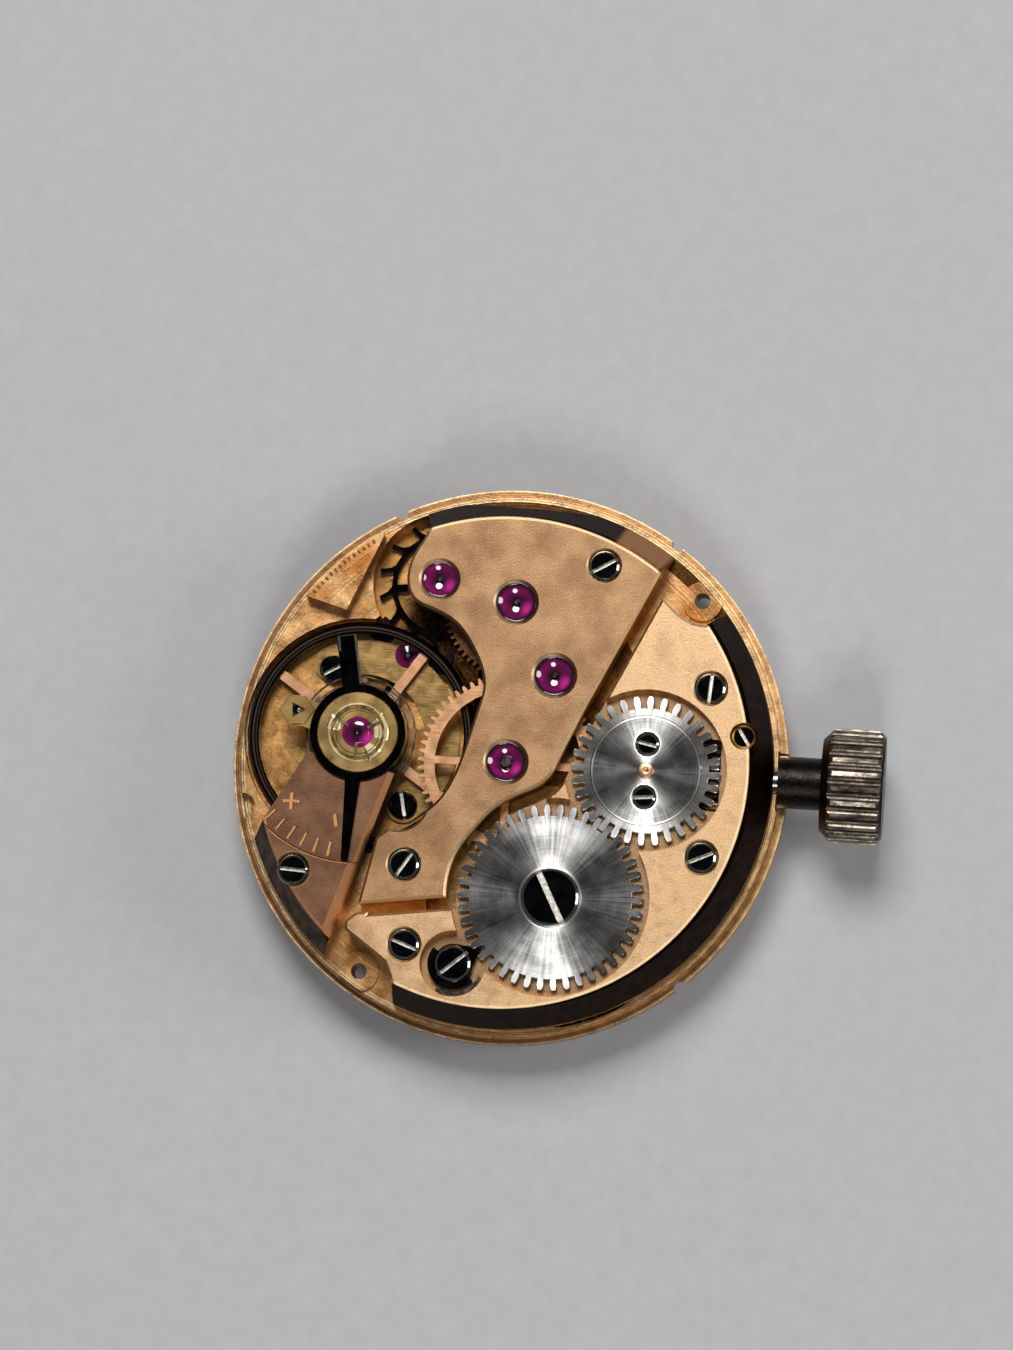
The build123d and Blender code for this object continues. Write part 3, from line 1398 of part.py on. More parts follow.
# Regulator and stud holder
with BuildPart() as regulator:
    regulator_bottom = cock_sink_height
    with BuildSketch(level(balance_at, regulator_bottom)):
        Circle(regulator_radius)
        with Locations(Location((0, 0), regulator_angle)):
            Polygon(
                (regulator_bore_radius, -pointer_root_width / 2),
                (pointer_length, -pointer_tip_width / 2),
                (pointer_length, pointer_tip_width / 2),
                (regulator_bore_radius, pointer_root_width / 2),
            )
        with Locations(Location((0, 0), regulator_arm_angle)):
            Rectangle(regulator_arm_length, regulator_arm_width, align=(Align.MIN, Align.CENTER))
        Circle(regulator_bore_radius, mode=cut)
    extrude(amount=regulator_thickness)
    for side in (-1, 1):
        pin_distance = hairspring_radius + side * (curb_pin_radius + curb_pin_gap)
        pin_at = along(balance_at, regulator_arm_angle, pin_distance)
        post(pin_at, curb_pin_radius, hairspring_bottom, regulator_bottom)

stud_plate_bottom = cock_sink_height - stud_plate_thickness
stud_at = along(balance_at, stud_angle, hairspring_radius + stud_pin_radius)
with BuildPart() as stud_holder:
    with BuildSketch(level(balance_at, stud_plate_bottom)):
        Circle(regulator_radius)
        with Locations(Location((0, 0), stud_angle)):
            Rectangle(stud_arm_distance, stud_arm_width, align=(Align.MIN, Align.CENTER))
            with Locations((stud_arm_distance, 0)):
                Circle(stud_boss_radius)
        Circle(shock_radius + running_clearance, mode=cut)
        with Locations(Location((stud_at[0] - balance_at[0], stud_at[1] - balance_at[1]), stud_hole_angle)):
            RegularPolygon(stud_pin_radius, 3, major_radius=False, mode=cut)
    extrude(amount=stud_plate_thickness - running_clearance)

with BuildPart() as hairspring_stud:
    post(stud_at, stud_pin_radius, hairspring_bottom, cock_sink_height - running_clearance)

# Stem, crown and the two pinions on the stem
with BuildPart() as winding_stem:
    rod(stem_pilot_place, stem_pilot_radius, pocket_start)
    square_length = winding_pinion_place - wheel_gap - pocket_start
    with Locations((pocket_start + square_length / 2, 0, stem_height)):
        Box(square_length, stem_square, stem_square)
    rod(winding_pinion_place - wheel_gap, stem_thread_radius, pocket_end)
    rod(pocket_end, stem_journal_radius, rim_end)
    rod(stem_groove_place, stem_journal_radius, stem_groove_place + stem_groove_width, cut)
    rod(stem_groove_place, stem_groove_radius, stem_groove_place + stem_groove_width)
    rod(rim_end, stem_thread_radius, crown_place + crown_length / 2)

with BuildPart() as crown:
    with BuildSketch(Plane((crown_place, 0, stem_height), x_dir=(0, 1, 0), z_dir=(1, 0, 0))):
        Circle(crown_radius)
        with PolarLocations(crown_flute_distance, crown_flutes):
            Circle(crown_flute_radius, mode=cut)
    extrude(amount=crown_length)
    with BuildSketch(Plane.XZ):
        with BuildLine():
            outer_end = crown_place + crown_length
            Polyline(
                (crown_place, stem_height),
                (crown_place, stem_height + crown_radius - crown_cone),
                (crown_place + crown_cone, stem_height + crown_radius),
                (outer_end - crown_dome, stem_height + crown_radius),
                (outer_end, stem_height + crown_radius - crown_dome),
            )
            Line((outer_end, stem_height + crown_radius - crown_dome), (outer_end, stem_height))
            Line((outer_end, stem_height), (crown_place, stem_height))
        make_face()
    revolve(axis=Axis((0, 0, stem_height), (1, 0, 0)), mode=Mode.INTERSECT)
    rod(rim_end, crown_neck_radius, crown_place)
    rod(rim_end, stem_thread_radius, crown_place + crown_length / 2, cut)

stem_plane = Plane((winding_pinion_place, 0, stem_height), x_dir=(0, 1, 0), z_dir=(1, 0, 0))
with BuildPart() as winding_pinion:
    with BuildSketch(stem_plane):
        winding_phase = 90 + 180 / winding_teeth
        Polygon(*tooth_points(winding_teeth, winding_pinion_root, winding_pinion_radius, winding_phase))
        Circle(winding_pinion_bore, mode=cut)
    extrude(amount=winding_pinion_length)

with BuildPart() as sliding_pinion:
    sliding_end = sliding_pinion_place + sliding_pinion_length
    rod(sliding_pinion_place, sliding_pinion_radius, sliding_end)
    groove_start = groove_place - sliding_groove_width / 2
    rod(groove_start, sliding_pinion_radius, groove_start + sliding_groove_width, cut)
    rod(groove_start, sliding_groove_radius, groove_start + sliding_groove_width)
    with Locations((sliding_pinion_place + sliding_pinion_length / 2, 0, stem_height)):
        Box(
            sliding_pinion_length + overrun,
            stem_square + running_clearance * 2,
            stem_square + running_clearance * 2,
            mode=cut,
        )
    for end, outward in ((sliding_pinion_place, 1), (sliding_end, -1)):
        with BuildSketch(Plane((end, 0, stem_height), x_dir=(0, 1, 0), z_dir=(outward, 0, 0))):
            with PolarLocations(sliding_groove_radius, clutch_notches):
                Rectangle(sliding_pinion_radius, clutch_notch_width, align=(Align.MIN, Align.CENTER))
        extrude(amount=clutch_notch_depth, mode=cut)

# Motion work
with BuildPart() as cannon_pinion:
    leaf_bottom = minute_wheel_bottom - wheel_gap + pivot_clearance
    cannon_bottom = dial_gap - cannon_length
    post(centre_at, cannon_radius, cannon_bottom, leaf_bottom)
    with BuildSketch(Plane.XY.offset(leaf_bottom)):
        Polygon(*leaf_points(cannon_leaves, cannon_pitch, motion_module, 0))
    extrude(amount=motion_ceiling - running_clearance - leaf_bottom)
    post(centre_at, centre_post_radius, cannon_bottom, motion_ceiling, cut)

with BuildPart() as minute_wheel:
    with BuildSketch(level(minute_at, minute_wheel_bottom)):
        Polygon(*wheel_points(minute_teeth, minute_pitch, motion_module, minute_phase))
    extrude(amount=minute_wheel_thickness)
    with BuildSketch(level(minute_at, dial_gap)):
        Polygon(*leaf_points(minute_leaves, minute_pinion_pitch, motion_module, minute_phase))
    extrude(amount=minute_wheel_bottom - dial_gap)
    post(minute_at, stud_radius + running_clearance, 0, motion_ceiling, cut)

with BuildPart() as hour_wheel:
    hour_bore = cannon_radius + running_clearance
    with BuildSketch(Plane.XY.offset(dial_gap)):
        Polygon(*wheel_points(hour_teeth, hour_pitch, motion_module, hour_phase))
    extrude(amount=hour_wheel_thickness)
    post(centre_at, hour_bore + hour_pipe_wall, dial_gap - hour_pipe_length, dial_gap)
    post(centre_at, hour_bore, dial_gap - hour_pipe_length, movement_height, cut)

with BuildPart() as setting_wheel:
    with BuildSketch(level(setting_wheel_at, minute_wheel_bottom)):
        Polygon(*wheel_points(setting_teeth, setting_pitch, motion_module, setting_phase))
        Circle(stud_radius + running_clearance, mode=cut)
    extrude(amount=minute_wheel_thickness)

# Keyless work
with BuildPart() as setting_lever:
    with BuildSketch(Plane.XY.offset(keyless_bottom)):
        lever_arm(lever_screw_at, lever_pin_at, lever_arm_width)
        with Locations(lever_screw_at):
            Circle(lever_boss_radius)
            Circle(lever_screw_shank_radius + running_clearance, mode=cut)
    extrude(amount=lever_thickness)
    post(lever_pin_at, lever_pin_radius, keyless_top, stem_height - stem_groove_radius - running_clearance)

with BuildPart() as yoke:
    with BuildSketch(Plane.XY.offset(keyless_bottom)):
        lever_arm(yoke_pivot_at, yoke_beak_at, yoke_width)
    extrude(amount=lever_thickness)
    post(yoke_pivot_at, yoke_pivot_radius - running_clearance, keyless_top, motion_ceiling + barrel_web / 2)
    post(yoke_beak_at, yoke_beak_radius, keyless_top, stem_height - sliding_groove_radius - running_clearance)

with BuildPart() as yoke_spring:
    foot, bend, tip = (spot(share) for share in yoke_spring_shares)
    with BuildSketch(Plane.XY.offset(keyless_bottom)):
        lever_arm(foot, bend, spring_width)
        lever_arm(bend, tip, spring_width)
        with Locations(foot):
            Circle(spring_width * 2)
    extrude(amount=lever_thickness)

with BuildPart() as setting_lever_jumper:
    with BuildSketch(Plane.XY.offset(dial_gap)):
        Polygon(*outline(jumper_shares))
        for share in jumper_screw_shares:
            with Locations(spot(share)):
                Circle(jumper_screw_radius, mode=cut)
    extrude(amount=jumper_thickness)

# Every piece under its node's name
pieces.update(
    main_plate=main_plate,
    train_bridge=train_bridge,
    barrel_bridge=barrel_bridge,
    balance_cock=balance_cock,
    pallet_bridge=pallet_bridge,
    bridge_screws=bridge_screws,
    pallet_bridge_screws=pallet_bridge_screws,
    crown_wheel_screws=crown_wheel_screws,
    ratchet_screw=ratchet_screw,
    click_screw=click_screw,
    setting_lever_screw=setting_lever_screw,
    keyless_screws=keyless_screws,
    dial_screws=dial_screws,
    upper_train_jewels=upper_train_jewels,
    lower_train_jewels=lower_train_jewels,
    pallet_jewels=pallet_jewels,
    shock_settings=shock_settings,
    shock_jewels=shock_jewels,
    shock_springs=shock_springs,
    crown_wheel=crown_wheel,
    crown_wheel_core=crown_wheel_core,
    ratchet_wheel=ratchet_wheel,
    click=click,
    click_spring=click_spring,
    barrel_drum=barrel_drum,
    barrel_cover=barrel_cover,
    mainspring=mainspring,
    barrel_arbor=barrel_arbor,
    centre_arbor=centre_arbor,
    escape_wheel=escape_wheel,
    pallet_fork=pallet_fork,
    pallet_stones=pallet_stones,
    pallet_arbor=pallet_arbor,
    balance_wheel=balance_wheel,
    balance_staff=balance_staff,
    roller=roller,
    impulse_jewel=impulse_jewel,
    collet=collet,
    hairspring=hairspring,
    regulator=regulator,
    stud_holder=stud_holder,
    hairspring_stud=hairspring_stud,
    winding_stem=winding_stem,
    crown=crown,
    winding_pinion=winding_pinion,
    sliding_pinion=sliding_pinion,
    cannon_pinion=cannon_pinion,
    minute_wheel=minute_wheel,
    hour_wheel=hour_wheel,
    setting_wheel=setting_wheel,
    setting_lever=setting_lever,
    yoke=yoke,
    yoke_spring=yoke_spring,
    setting_lever_jumper=setting_lever_jumper,
)
os.makedirs("parts", exist_ok=True)
for name, piece in pieces.items():
    piece.part.label = name
    export_step(piece.part, f"parts/{name}.step")
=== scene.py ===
import math

import bmesh
import bpy
from mathutils import Matrix, Vector


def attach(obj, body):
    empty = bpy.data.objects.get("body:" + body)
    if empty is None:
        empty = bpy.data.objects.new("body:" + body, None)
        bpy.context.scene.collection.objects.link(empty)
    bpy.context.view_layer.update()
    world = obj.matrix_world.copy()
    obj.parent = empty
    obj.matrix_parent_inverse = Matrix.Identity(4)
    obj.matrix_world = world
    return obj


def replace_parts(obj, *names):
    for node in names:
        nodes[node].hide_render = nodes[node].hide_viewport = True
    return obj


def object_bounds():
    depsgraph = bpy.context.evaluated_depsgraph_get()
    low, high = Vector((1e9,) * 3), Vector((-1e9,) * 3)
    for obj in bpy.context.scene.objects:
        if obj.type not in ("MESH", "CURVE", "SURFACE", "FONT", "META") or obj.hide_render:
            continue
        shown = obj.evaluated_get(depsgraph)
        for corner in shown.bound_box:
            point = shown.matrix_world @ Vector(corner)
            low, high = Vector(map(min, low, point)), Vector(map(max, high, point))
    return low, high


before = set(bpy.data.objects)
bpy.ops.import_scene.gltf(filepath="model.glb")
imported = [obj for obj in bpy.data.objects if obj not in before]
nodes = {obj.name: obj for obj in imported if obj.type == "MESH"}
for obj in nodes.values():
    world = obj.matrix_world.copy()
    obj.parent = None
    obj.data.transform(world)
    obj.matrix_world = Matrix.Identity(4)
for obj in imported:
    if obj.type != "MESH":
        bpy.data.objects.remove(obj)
cad_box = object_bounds()

MM = 0.001
# Farther than any face lies from its piece's nearest axis
BEYOND = 9.0

# Places of the movement in plan, in millimetres as all sizes here
CENTRE = (0.0, 0.0)
THIRD = (1.33, 2.7825)
FOURTH = (-0.0175, 5.014)
ESCAPE = (-2.459, 5.591)
PALLET = (-3.4475, 3.299)
BALANCE = (-4.699, 0.6475)
BARREL = (1.654, -4.121)
CROWN_WHEEL = (4.366, 0.0)
STUD = (-6.66, 1.247)
CORE_SCREWS = ((4.366, 0.83), (4.366, -0.83))
TRAIN_SCREWS = ((2.66, 6.3175), (-2.966, -3.386))
BARREL_SCREWS = ((6.2125, 2.6775), (6.256, -2.599), (-2.791, -5.871))
COCK_SCREWS = ((-6.431, -3.7625),)
CLICK_SCREWS = ((-1.234, -6.37),)
LEVER_SCREWS = ((7.332, 1.251),)
PALLET_SCREWS = ((-5.749, 2.721), (-3.272, -1.426))
KEYLESS_SCREWS = ((6.388, -2.8), (7.525, -1.4))
TRAIN_JEWELS = (CENTRE, THIRD, FOURTH, ESCAPE)

# The bridges: their bevel is painted dark, a painted reflection, from a circle a little off the plate's axis; one
# stretch of headings gets a painted highlight
DARK_BAND_CENTRE = (-0.12, 0.0)
LAND_RADIUS, LAND_BROW, BEVEL_SOFT = 7.68, 0.07, 0.03
BEVEL_LIT_HEADINGS = (55.0, 67.0)
# Bright rings round the seats of screws and jewels, painted highlights
SEAT_HIGHLIGHT_RADII = (0.5, 0.56)
# Below these heights a bridge is painted darker, painted shade
SINKS_BELOW = (2.2, 2.15)
# Walls nearer the balance than this are painted dark, painted shade
WELL_OF_BALANCE = (4.3, 5.0)
# The painted light slope on the bridges, lighter towards the stem: its heading, and where it starts and ends
LIGHT_SLOPE_HEADING = 25.0
LIGHT_SLOPE_FROM, LIGHT_SLOPE_TO = -4.0, 8.0

# A graved stroke is this many times as deep as the grain
STROKE_DEPTH = 5.0

# How far a face looks up where it is a wall, and where it is a chamfer
WALL_FACING = (-0.3, 0.3)
CHAMFER_FACING = (0.3, 0.95)

# The regulator's scale on the balance cock, as headings and distances from the balance
SCALE_FROM, SCALE_TO = -133.3, -99.8
SCALE_ROW = (-136.0, -97.5)
SCALE_STROKES = (3.5, 3.98)
SCALE_STEP = (4.08, 4.13)
# A plus and a minus: middle, half length, half width and turn of each stroke
SCALE_SIGNS = (((-6.62, -1.62), 0.27, 0.055, 0.0), ((-6.62, -1.62), 0.27, 0.055, 90.0),
               ((-5.2, -2.14), 0.2, 0.06, 100.0))

# The plate
FLANGE_FROM, FLANGE_TO = 8.28, 8.34
RECESS_FROM, RECESS_TO = 1.22, 1.16
# A ring of painted shade round the bridges: its radii, its headings, and the heights over which it fades out
SHADE_RING_RADII = (7.9, 8.32)
SHADE_RING_HEADINGS = (-88.0, 112.0)
SHADE_RING_FROM, SHADE_RING_TO = 1.4, 1.3
SHADED_RADII = (3.5, 4.7)
SHADED_HEADINGS = (-42.0, 78.0)
DOTS = 14
DOTS_FROM, DOTS_TO = 124.2, 142.6
DOT_ROW = (124.0, 142.8)
DOT_RADII = (8.1, 8.24)

# The regulator's short arm: its heading, and its painted edge highlights as sides and stretches along it
REGULATOR_ARM = 100.5
ARM_HIGHLIGHTS = ((-0.31, -0.24, 1.5, 3.12), (0.22, 0.28, 2.6, 3.12), (-0.31, 0.28, 3.05, 3.12))

# The balance's rim, the shock block and the stud's hole
RIM_FROM, RIM_TO = 3.2, 3.23
# Outside the rim's face its edges are painted near black, painted shade
RIM_FACE = (3.3, 3.54)
SHOCK_LIPS = ((0.38, 0.47), (0.86, 0.92))
# Headings of the block's bright horns, and where each starts
SHOCK_HORNS = ((150.0, 176.0, 0.58), (-14.0, 40.0, 0.52), (-62.0, -36.0, 0.47))
SHOCK_EDGE = 0.96
# Where the stud's hole is painted black, painted shade: its radii from the stud and its heights
STUD_HOLE = (-0.1, 0.3)
STUD_HOLE_HEIGHTS = (2.2, 2.37)

# The screws: the chamfer round a head, its outer part painted bright as a highlight, and the soft edge of the slot's
# floor
HEAD_CHAMFER, HEAD_EDGE, SLOT_SOFT = 0.1, 0.08, 0.03

# The crown
STEM_HEIGHT = 1.15
FLUTE_BOTTOM, RIDGE_TOP = 1.64, 1.77
CROWN_BODY, CROWN_NECK = 1.1, 1.0

# The winding wheels
WHEEL_BOTTOM, WHEEL_TOP, WHEEL_CHAMFER = 2.15, 2.35, 0.018
RATCHET_TEETH, RATCHET_BORE, RATCHET_ROOT, RATCHET_TIP, RATCHET_PHASE = 42, 0.6, 2.55, 2.9, 1.43
CROWN_TEETH, CROWN_BORE, CROWN_ROOT, CROWN_TIP, CROWN_PHASE = 32, 1.73, 1.953, 2.333, 11.0
# Bright rings painted as highlights where the screws' seats and the core's edge would catch light: centre, inner and
# outer radius
RATCHET_HIGHLIGHTS = ((BARREL, 0.9, 0.99),)
CORE_HIGHLIGHTS = ((CROWN_WHEEL, 1.66, 1.71), (CORE_SCREWS[0], 0.39, 0.43), (CORE_SCREWS[1], 0.39, 0.43))

# The jewels: where a painted glow stands for light coming up through one, its heights, and the curve of its oil sink
JEWEL_GLOW = (0.28, -0.16)
JEWEL_TOP, JEWEL_BOTTOM, JEWEL_SHOULDER = 2.45, 2.17, 0.02
SINK_CURVE, SINK_STEPS = 0.9, 12
JEWEL_SIZES = ((CENTRE, 0.62, 0.16), (THIRD, 0.62, 0.07), (FOURTH, 0.62, 0.07), (ESCAPE, 0.56, 0.07))

# New meshes: steps of a full turn, and how near corners are welded, in metres
SPIN_STEPS = 64
WELD = 1e-8

# Small turned faces, as profiles of radius and height
STUD_PIN_AT = (STUD[0] + 0.06, STUD[1] - 0.02)
STUD_PIN = [(0.001, 2.36), (0.09, 2.36), (0.08, 2.38), (0.05, 2.393), (0.001, 2.398)]
CAP_JEWEL = [(0.001, 2.44), (0.36, 2.44), (0.36, 2.452), (0.33, 2.466), (0.26, 2.48), (0.16, 2.49), (0.06, 2.494),
             (0.001, 2.495)]
CORE_POST = [(0.001, 2.3), (0.25, 2.3), (0.25, 2.385), (0.22, 2.4), (0.12, 2.408), (0.001, 2.41)]

# The stud's plate: heading and distance of its six corners and of its three-sided hole's
STUD_CORNERS = ((0.0, 0.56), (60.0, 0.52), (120.0, 0.52), (180.0, 0.56), (240.0, 0.5), (300.0, 0.5))
STUD_OPENING = ((3.0, 0.28), (63.0, 0.14), (123.0, 0.28), (183.0, 0.14), (243.0, 0.28), (303.0, 0.14))
STUD_TURN = 2
STUD_BOTTOM, STUD_TOP, STUD_CHAMFER = 2.36, 2.40, 0.015


# Nodes and colours

def linear(code):
    """Turns an sRGB hex colour into the linear one that a shader reads."""
    parts = [int(code[i:i + 2], 16) / 255 for i in (1, 3, 5)]
    return tuple(p / 12.92 if p <= 0.04045 else ((p + 0.055) / 1.055) ** 2.4 for p in parts) + (1.0,)


def add(tree, kind, inputs, out=0, **fields):
    """Adds a shader node and gives one of its outputs: inputs are values or the sockets that feed it."""
    made = tree.nodes.new(kind)
    for name, value in fields.items():
        setattr(made, name, value)
    for name, value in inputs.items():
        if isinstance(value, bpy.types.NodeSocket):
            tree.links.new(value, made.inputs[name])
        else:
            made.inputs[name].default_value = value
    return made.outputs[out]


# What a Mix node needs to mix two colours, in its sockets 6 and 7, by its socket 0
COLOURS = {"out": 2, "data_type": "RGBA"}


def begin(name, **sockets):
    """A new material with its plain values on the shader."""
    material = bpy.data.materials.new(name)
    material.use_nodes = True
    tree = material.node_tree
    shader = tree.nodes["Principled BSDF"]
    for socket, value in sockets.items():
        shader.inputs[socket.replace("_", " ")].default_value = value
    return material, tree, shader


def here(tree, centre=CENTRE, squeeze=(1.0, 1.0, 1.0), turn=0.0):
    """The piece's own place in millimetres from a centre; squeeze stretches a pattern along an axis."""
    place = add(tree, "ShaderNodeTexCoord", {}, out=3)
    moved = add(tree, "ShaderNodeMapping", {
        "Vector": place, "Scale": (1 / MM, 1 / MM, 1 / MM), "Location": (-centre[0], -centre[1], 0.0)})
    return add(tree, "ShaderNodeMapping", {
        "Vector": moved, "Rotation": (0.0, 0.0, math.radians(turn)), "Scale": squeeze})


def mottle(tree, vector, size, low=0.0, high=1.0, detail=3.0):
    """Cloudy spots of a real size in mm, brought between two values."""
    cloud = add(tree, "ShaderNodeTexNoise", {"Vector": vector, "Scale": 1 / size, "Detail": detail})
    return add(tree, "ShaderNodeMapRange", {
        "Value": cloud, "From Min": 0.28, "From Max": 0.72, "To Min": low, "To Max": high},
        interpolation_type="SMOOTHSTEP")


def away_from(tree, centre):
    """Distance in plan from an axis of the movement."""
    return add(tree, "ShaderNodeVectorMath", {0: here(tree, centre, (1.0, 1.0, 0.0))}, out=1, operation="LENGTH")


def from_nearest(tree, places):
    """Distance in plan from the nearest of several axes."""
    nearest = BEYOND
    for place in places:
        nearest = add(tree, "ShaderNodeMath", {0: away_from(tree, place), 1: nearest}, operation="MINIMUM")
    return nearest


def band(tree, value, low, high, soft=0.015):
    """One between two values and zero outside them, with a soft edge."""
    above = add(tree, "ShaderNodeMapRange", {"Value": value, "From Min": low - soft, "From Max": low + soft})
    below = add(tree, "ShaderNodeMapRange", {"Value": value, "From Min": high + soft, "From Max": high - soft})
    return add(tree, "ShaderNodeMath", {0: above, 1: below}, operation="MULTIPLY")


def bar(tree, centre, turn, along, across):
    """One inside a straight bar, given as two stretches from a centre that is turned by some degrees."""
    place = here(tree, centre, turn=-turn)
    inside = [band(tree, add(tree, "ShaderNodeSeparateXYZ", {0: place}, out=axis), *stretch)
              for axis, stretch in enumerate((along, across))]
    return add(tree, "ShaderNodeMath", {0: inside[0], 1: inside[1]}, operation="MULTIPLY")


def heading(tree, centre):
    """Direction in plan from an axis of the movement, in degrees."""
    place = here(tree, centre)
    across = add(tree, "ShaderNodeSeparateXYZ", {0: place})
    along = add(tree, "ShaderNodeSeparateXYZ", {0: place}, out=1)
    turned = add(tree, "ShaderNodeMath", {0: along, 1: across}, operation="ARCTAN2")
    return add(tree, "ShaderNodeMath", {0: turned}, operation="DEGREES")


def height(tree):
    """Height in mm above the dial seat."""
    return add(tree, "ShaderNodeSeparateXYZ", {0: here(tree)}, out=2)


def facing(tree, axis):
    """How far a face looks along an axis; along the third it is 1 on the flats and 0 on the walls."""
    normal = add(tree, "ShaderNodeNewGeometry", {}, out=3)
    return add(tree, "ShaderNodeSeparateXYZ", {0: normal}, out=axis)


def relief(tree, shader, raised, depth):
    """Surface relief of a depth in mm."""
    normal = add(tree, "ShaderNodeBump", {"Height": raised, "Strength": 1.0, "Distance": depth * MM})
    tree.links.new(normal, shader.inputs["Normal"])


# Finishes

def bridge_gilding(name, lit, deep, cut, bevel, places, marks=None, brightening=0.0):
    """Rose gold plating over brass that was grained with fine stone: soft and matte on the flats, browned
    by a cloudy tarnish, and painted brighter towards the stem, a painted light slope. The cut edges are bright
    lines, painted lighter as a highlight where they face the stem and along the land's brow, with painted
    highlight rings round the seats. The walls are yellow gold, their brightness partly painted light, and
    painted dark as shade in the balance's well; all that is sunk below the top is painted darker as shade.
    The turned bevel round the bridges is painted dark, a painted reflection of the dark room, with a painted
    highlight on one stretch. The grain is drawn three times its size, or it wouldn't show."""
    material, tree, shader = begin(name, Metallic=1.0)
    specks = add(tree, "ShaderNodeTexNoise", {"Vector": here(tree), "Scale": 18.0, "Detail": 3.0})
    clouds = mottle(tree, here(tree), 1.0, 0.1, 0.9, detail=5.0)
    # A painted light slope: the bridge is painted lighter towards the stem
    painted_light_slope = add(tree, "ShaderNodeMapRange", {
        "Value": add(tree, "ShaderNodeSeparateXYZ", {0: here(tree, turn=LIGHT_SLOPE_HEADING)}),
        "From Min": LIGHT_SLOPE_FROM, "From Max": LIGHT_SLOPE_TO, "To Max": brightening})
    clouds = add(tree, "ShaderNodeMath", {0: clouds, 1: painted_light_slope}, operation="ADD", use_clamp=True)
    body = add(tree, "ShaderNodeMix", {0: clouds, 6: linear(deep), 7: linear(lit)}, **COLOURS)
    shade = add(tree, "ShaderNodeMapRange", {"Value": specks, "From Min": 0.35, "From Max": 0.7, "To Max": 0.34})
    body = add(tree, "ShaderNodeMix", {0: shade, 6: body, 7: linear("#4E3320")}, **COLOURS)
    raised = specks
    if marks:
        strokes = marks(tree)
        body = add(tree, "ShaderNodeMix", {0: strokes, 6: body, 7: linear("#C48C5A")}, **COLOURS)
        sunk = add(tree, "ShaderNodeMath", {0: strokes, 1: STROKE_DEPTH}, operation="MULTIPLY")
        raised = add(tree, "ShaderNodeMath", {0: raised, 1: sunk}, operation="SUBTRACT")
    # Bright rings painted round the seats of screws and jewels, painted highlights of their chamfers
    rings = band(tree, from_nearest(tree, places), *SEAT_HIGHLIGHT_RADII)
    body = add(tree, "ShaderNodeMix", {0: rings, 6: body, 7: linear("#EBC08E")}, **COLOURS)

    # Chamfers facing the stem are painted lighter, a painted highlight; walls are a bright gold, partly painted
    # light, and painted dark as shade in the balance's well
    upwards = facing(tree, 2)
    painted_lit_side = add(tree, "ShaderNodeMapRange", {"Value": facing(tree, 0), "From Min": -0.3, "From Max": 0.3})
    chamfer = band(tree, upwards, *CHAMFER_FACING)
    lines = add(tree, "ShaderNodeMix", {0: painted_lit_side, 6: linear("#A07E58"), 7: linear(cut)}, **COLOURS)
    body = add(tree, "ShaderNodeMix", {0: chamfer, 6: body, 7: lines}, **COLOURS)
    open_side = add(tree, "ShaderNodeMapRange", {
        "Value": away_from(tree, BALANCE), "From Min": WELL_OF_BALANCE[0], "From Max": WELL_OF_BALANCE[1]})
    walls = add(tree, "ShaderNodeMix", {0: open_side, 6: linear("#4A2E18"), 7: linear("#FFC868")}, **COLOURS)
    body = add(tree, "ShaderNodeMix", {0: band(tree, upwards, *WALL_FACING), 6: body, 7: walls}, **COLOURS)
    # All that is sunk below the bridge's top is painted darker, painted shade
    sink = add(tree, "ShaderNodeMapRange", {
        "Value": height(tree), "From Min": SINKS_BELOW[0], "From Max": SINKS_BELOW[1]})
    sink = add(tree, "ShaderNodeMath", {0: sink, 1: 0.55}, operation="MULTIPLY")
    body = add(tree, "ShaderNodeMix", {0: sink, 6: body, 7: linear("#5A3A22")}, **COLOURS)

    # A painted highlight along the land's brow, and outside it the bevel, painted dark as a painted reflection, with
    # a painted highlight on one stretch
    land = away_from(tree, DARK_BAND_CENTRE)
    rim = add(tree, "ShaderNodeMapRange", {
        "Value": land, "From Min": LAND_RADIUS, "From Max": LAND_RADIUS + BEVEL_SOFT})
    brow = add(tree, "ShaderNodeMath", {0: band(tree, land, LAND_RADIUS - LAND_BROW, LAND_RADIUS), 1: 0.75},
               operation="MULTIPLY")
    body = add(tree, "ShaderNodeMix", {0: brow, 6: body, 7: linear(cut)}, **COLOURS)
    sloped = add(tree, "ShaderNodeMapRange", {"Value": upwards, "From Min": 0.1, "From Max": 0.3})
    rim = add(tree, "ShaderNodeMath", {0: rim, 1: sloped}, operation="MULTIPLY")
    reflection_mottle = mottle(tree, here(tree), 0.35, 0.0, 0.6, detail=4.0)
    mirror = add(tree, "ShaderNodeMix", {0: reflection_mottle, 6: linear("#140B06"), 7: linear(bevel)}, **COLOURS)
    stretch = band(tree, heading(tree, CENTRE), *BEVEL_LIT_HEADINGS, 0.6)
    mirror = add(tree, "ShaderNodeMix", {0: stretch, 6: mirror, 7: linear("#B98458")}, **COLOURS)
    body = add(tree, "ShaderNodeMix", {0: rim, 6: body, 7: mirror}, **COLOURS)
    tree.links.new(body, shader.inputs["Base Color"])
    polish = add(tree, "ShaderNodeMix", {0: rim, 2: mottle(tree, here(tree), 0.3, 0.38, 0.5), 3: 0.2},
                 data_type="FLOAT")
    polish = add(tree, "ShaderNodeMix", {0: chamfer, 2: polish, 3: 0.42}, data_type="FLOAT")
    tree.links.new(polish, shader.inputs["Roughness"])
    relief(tree, shader, raised, 0.004)
    return material


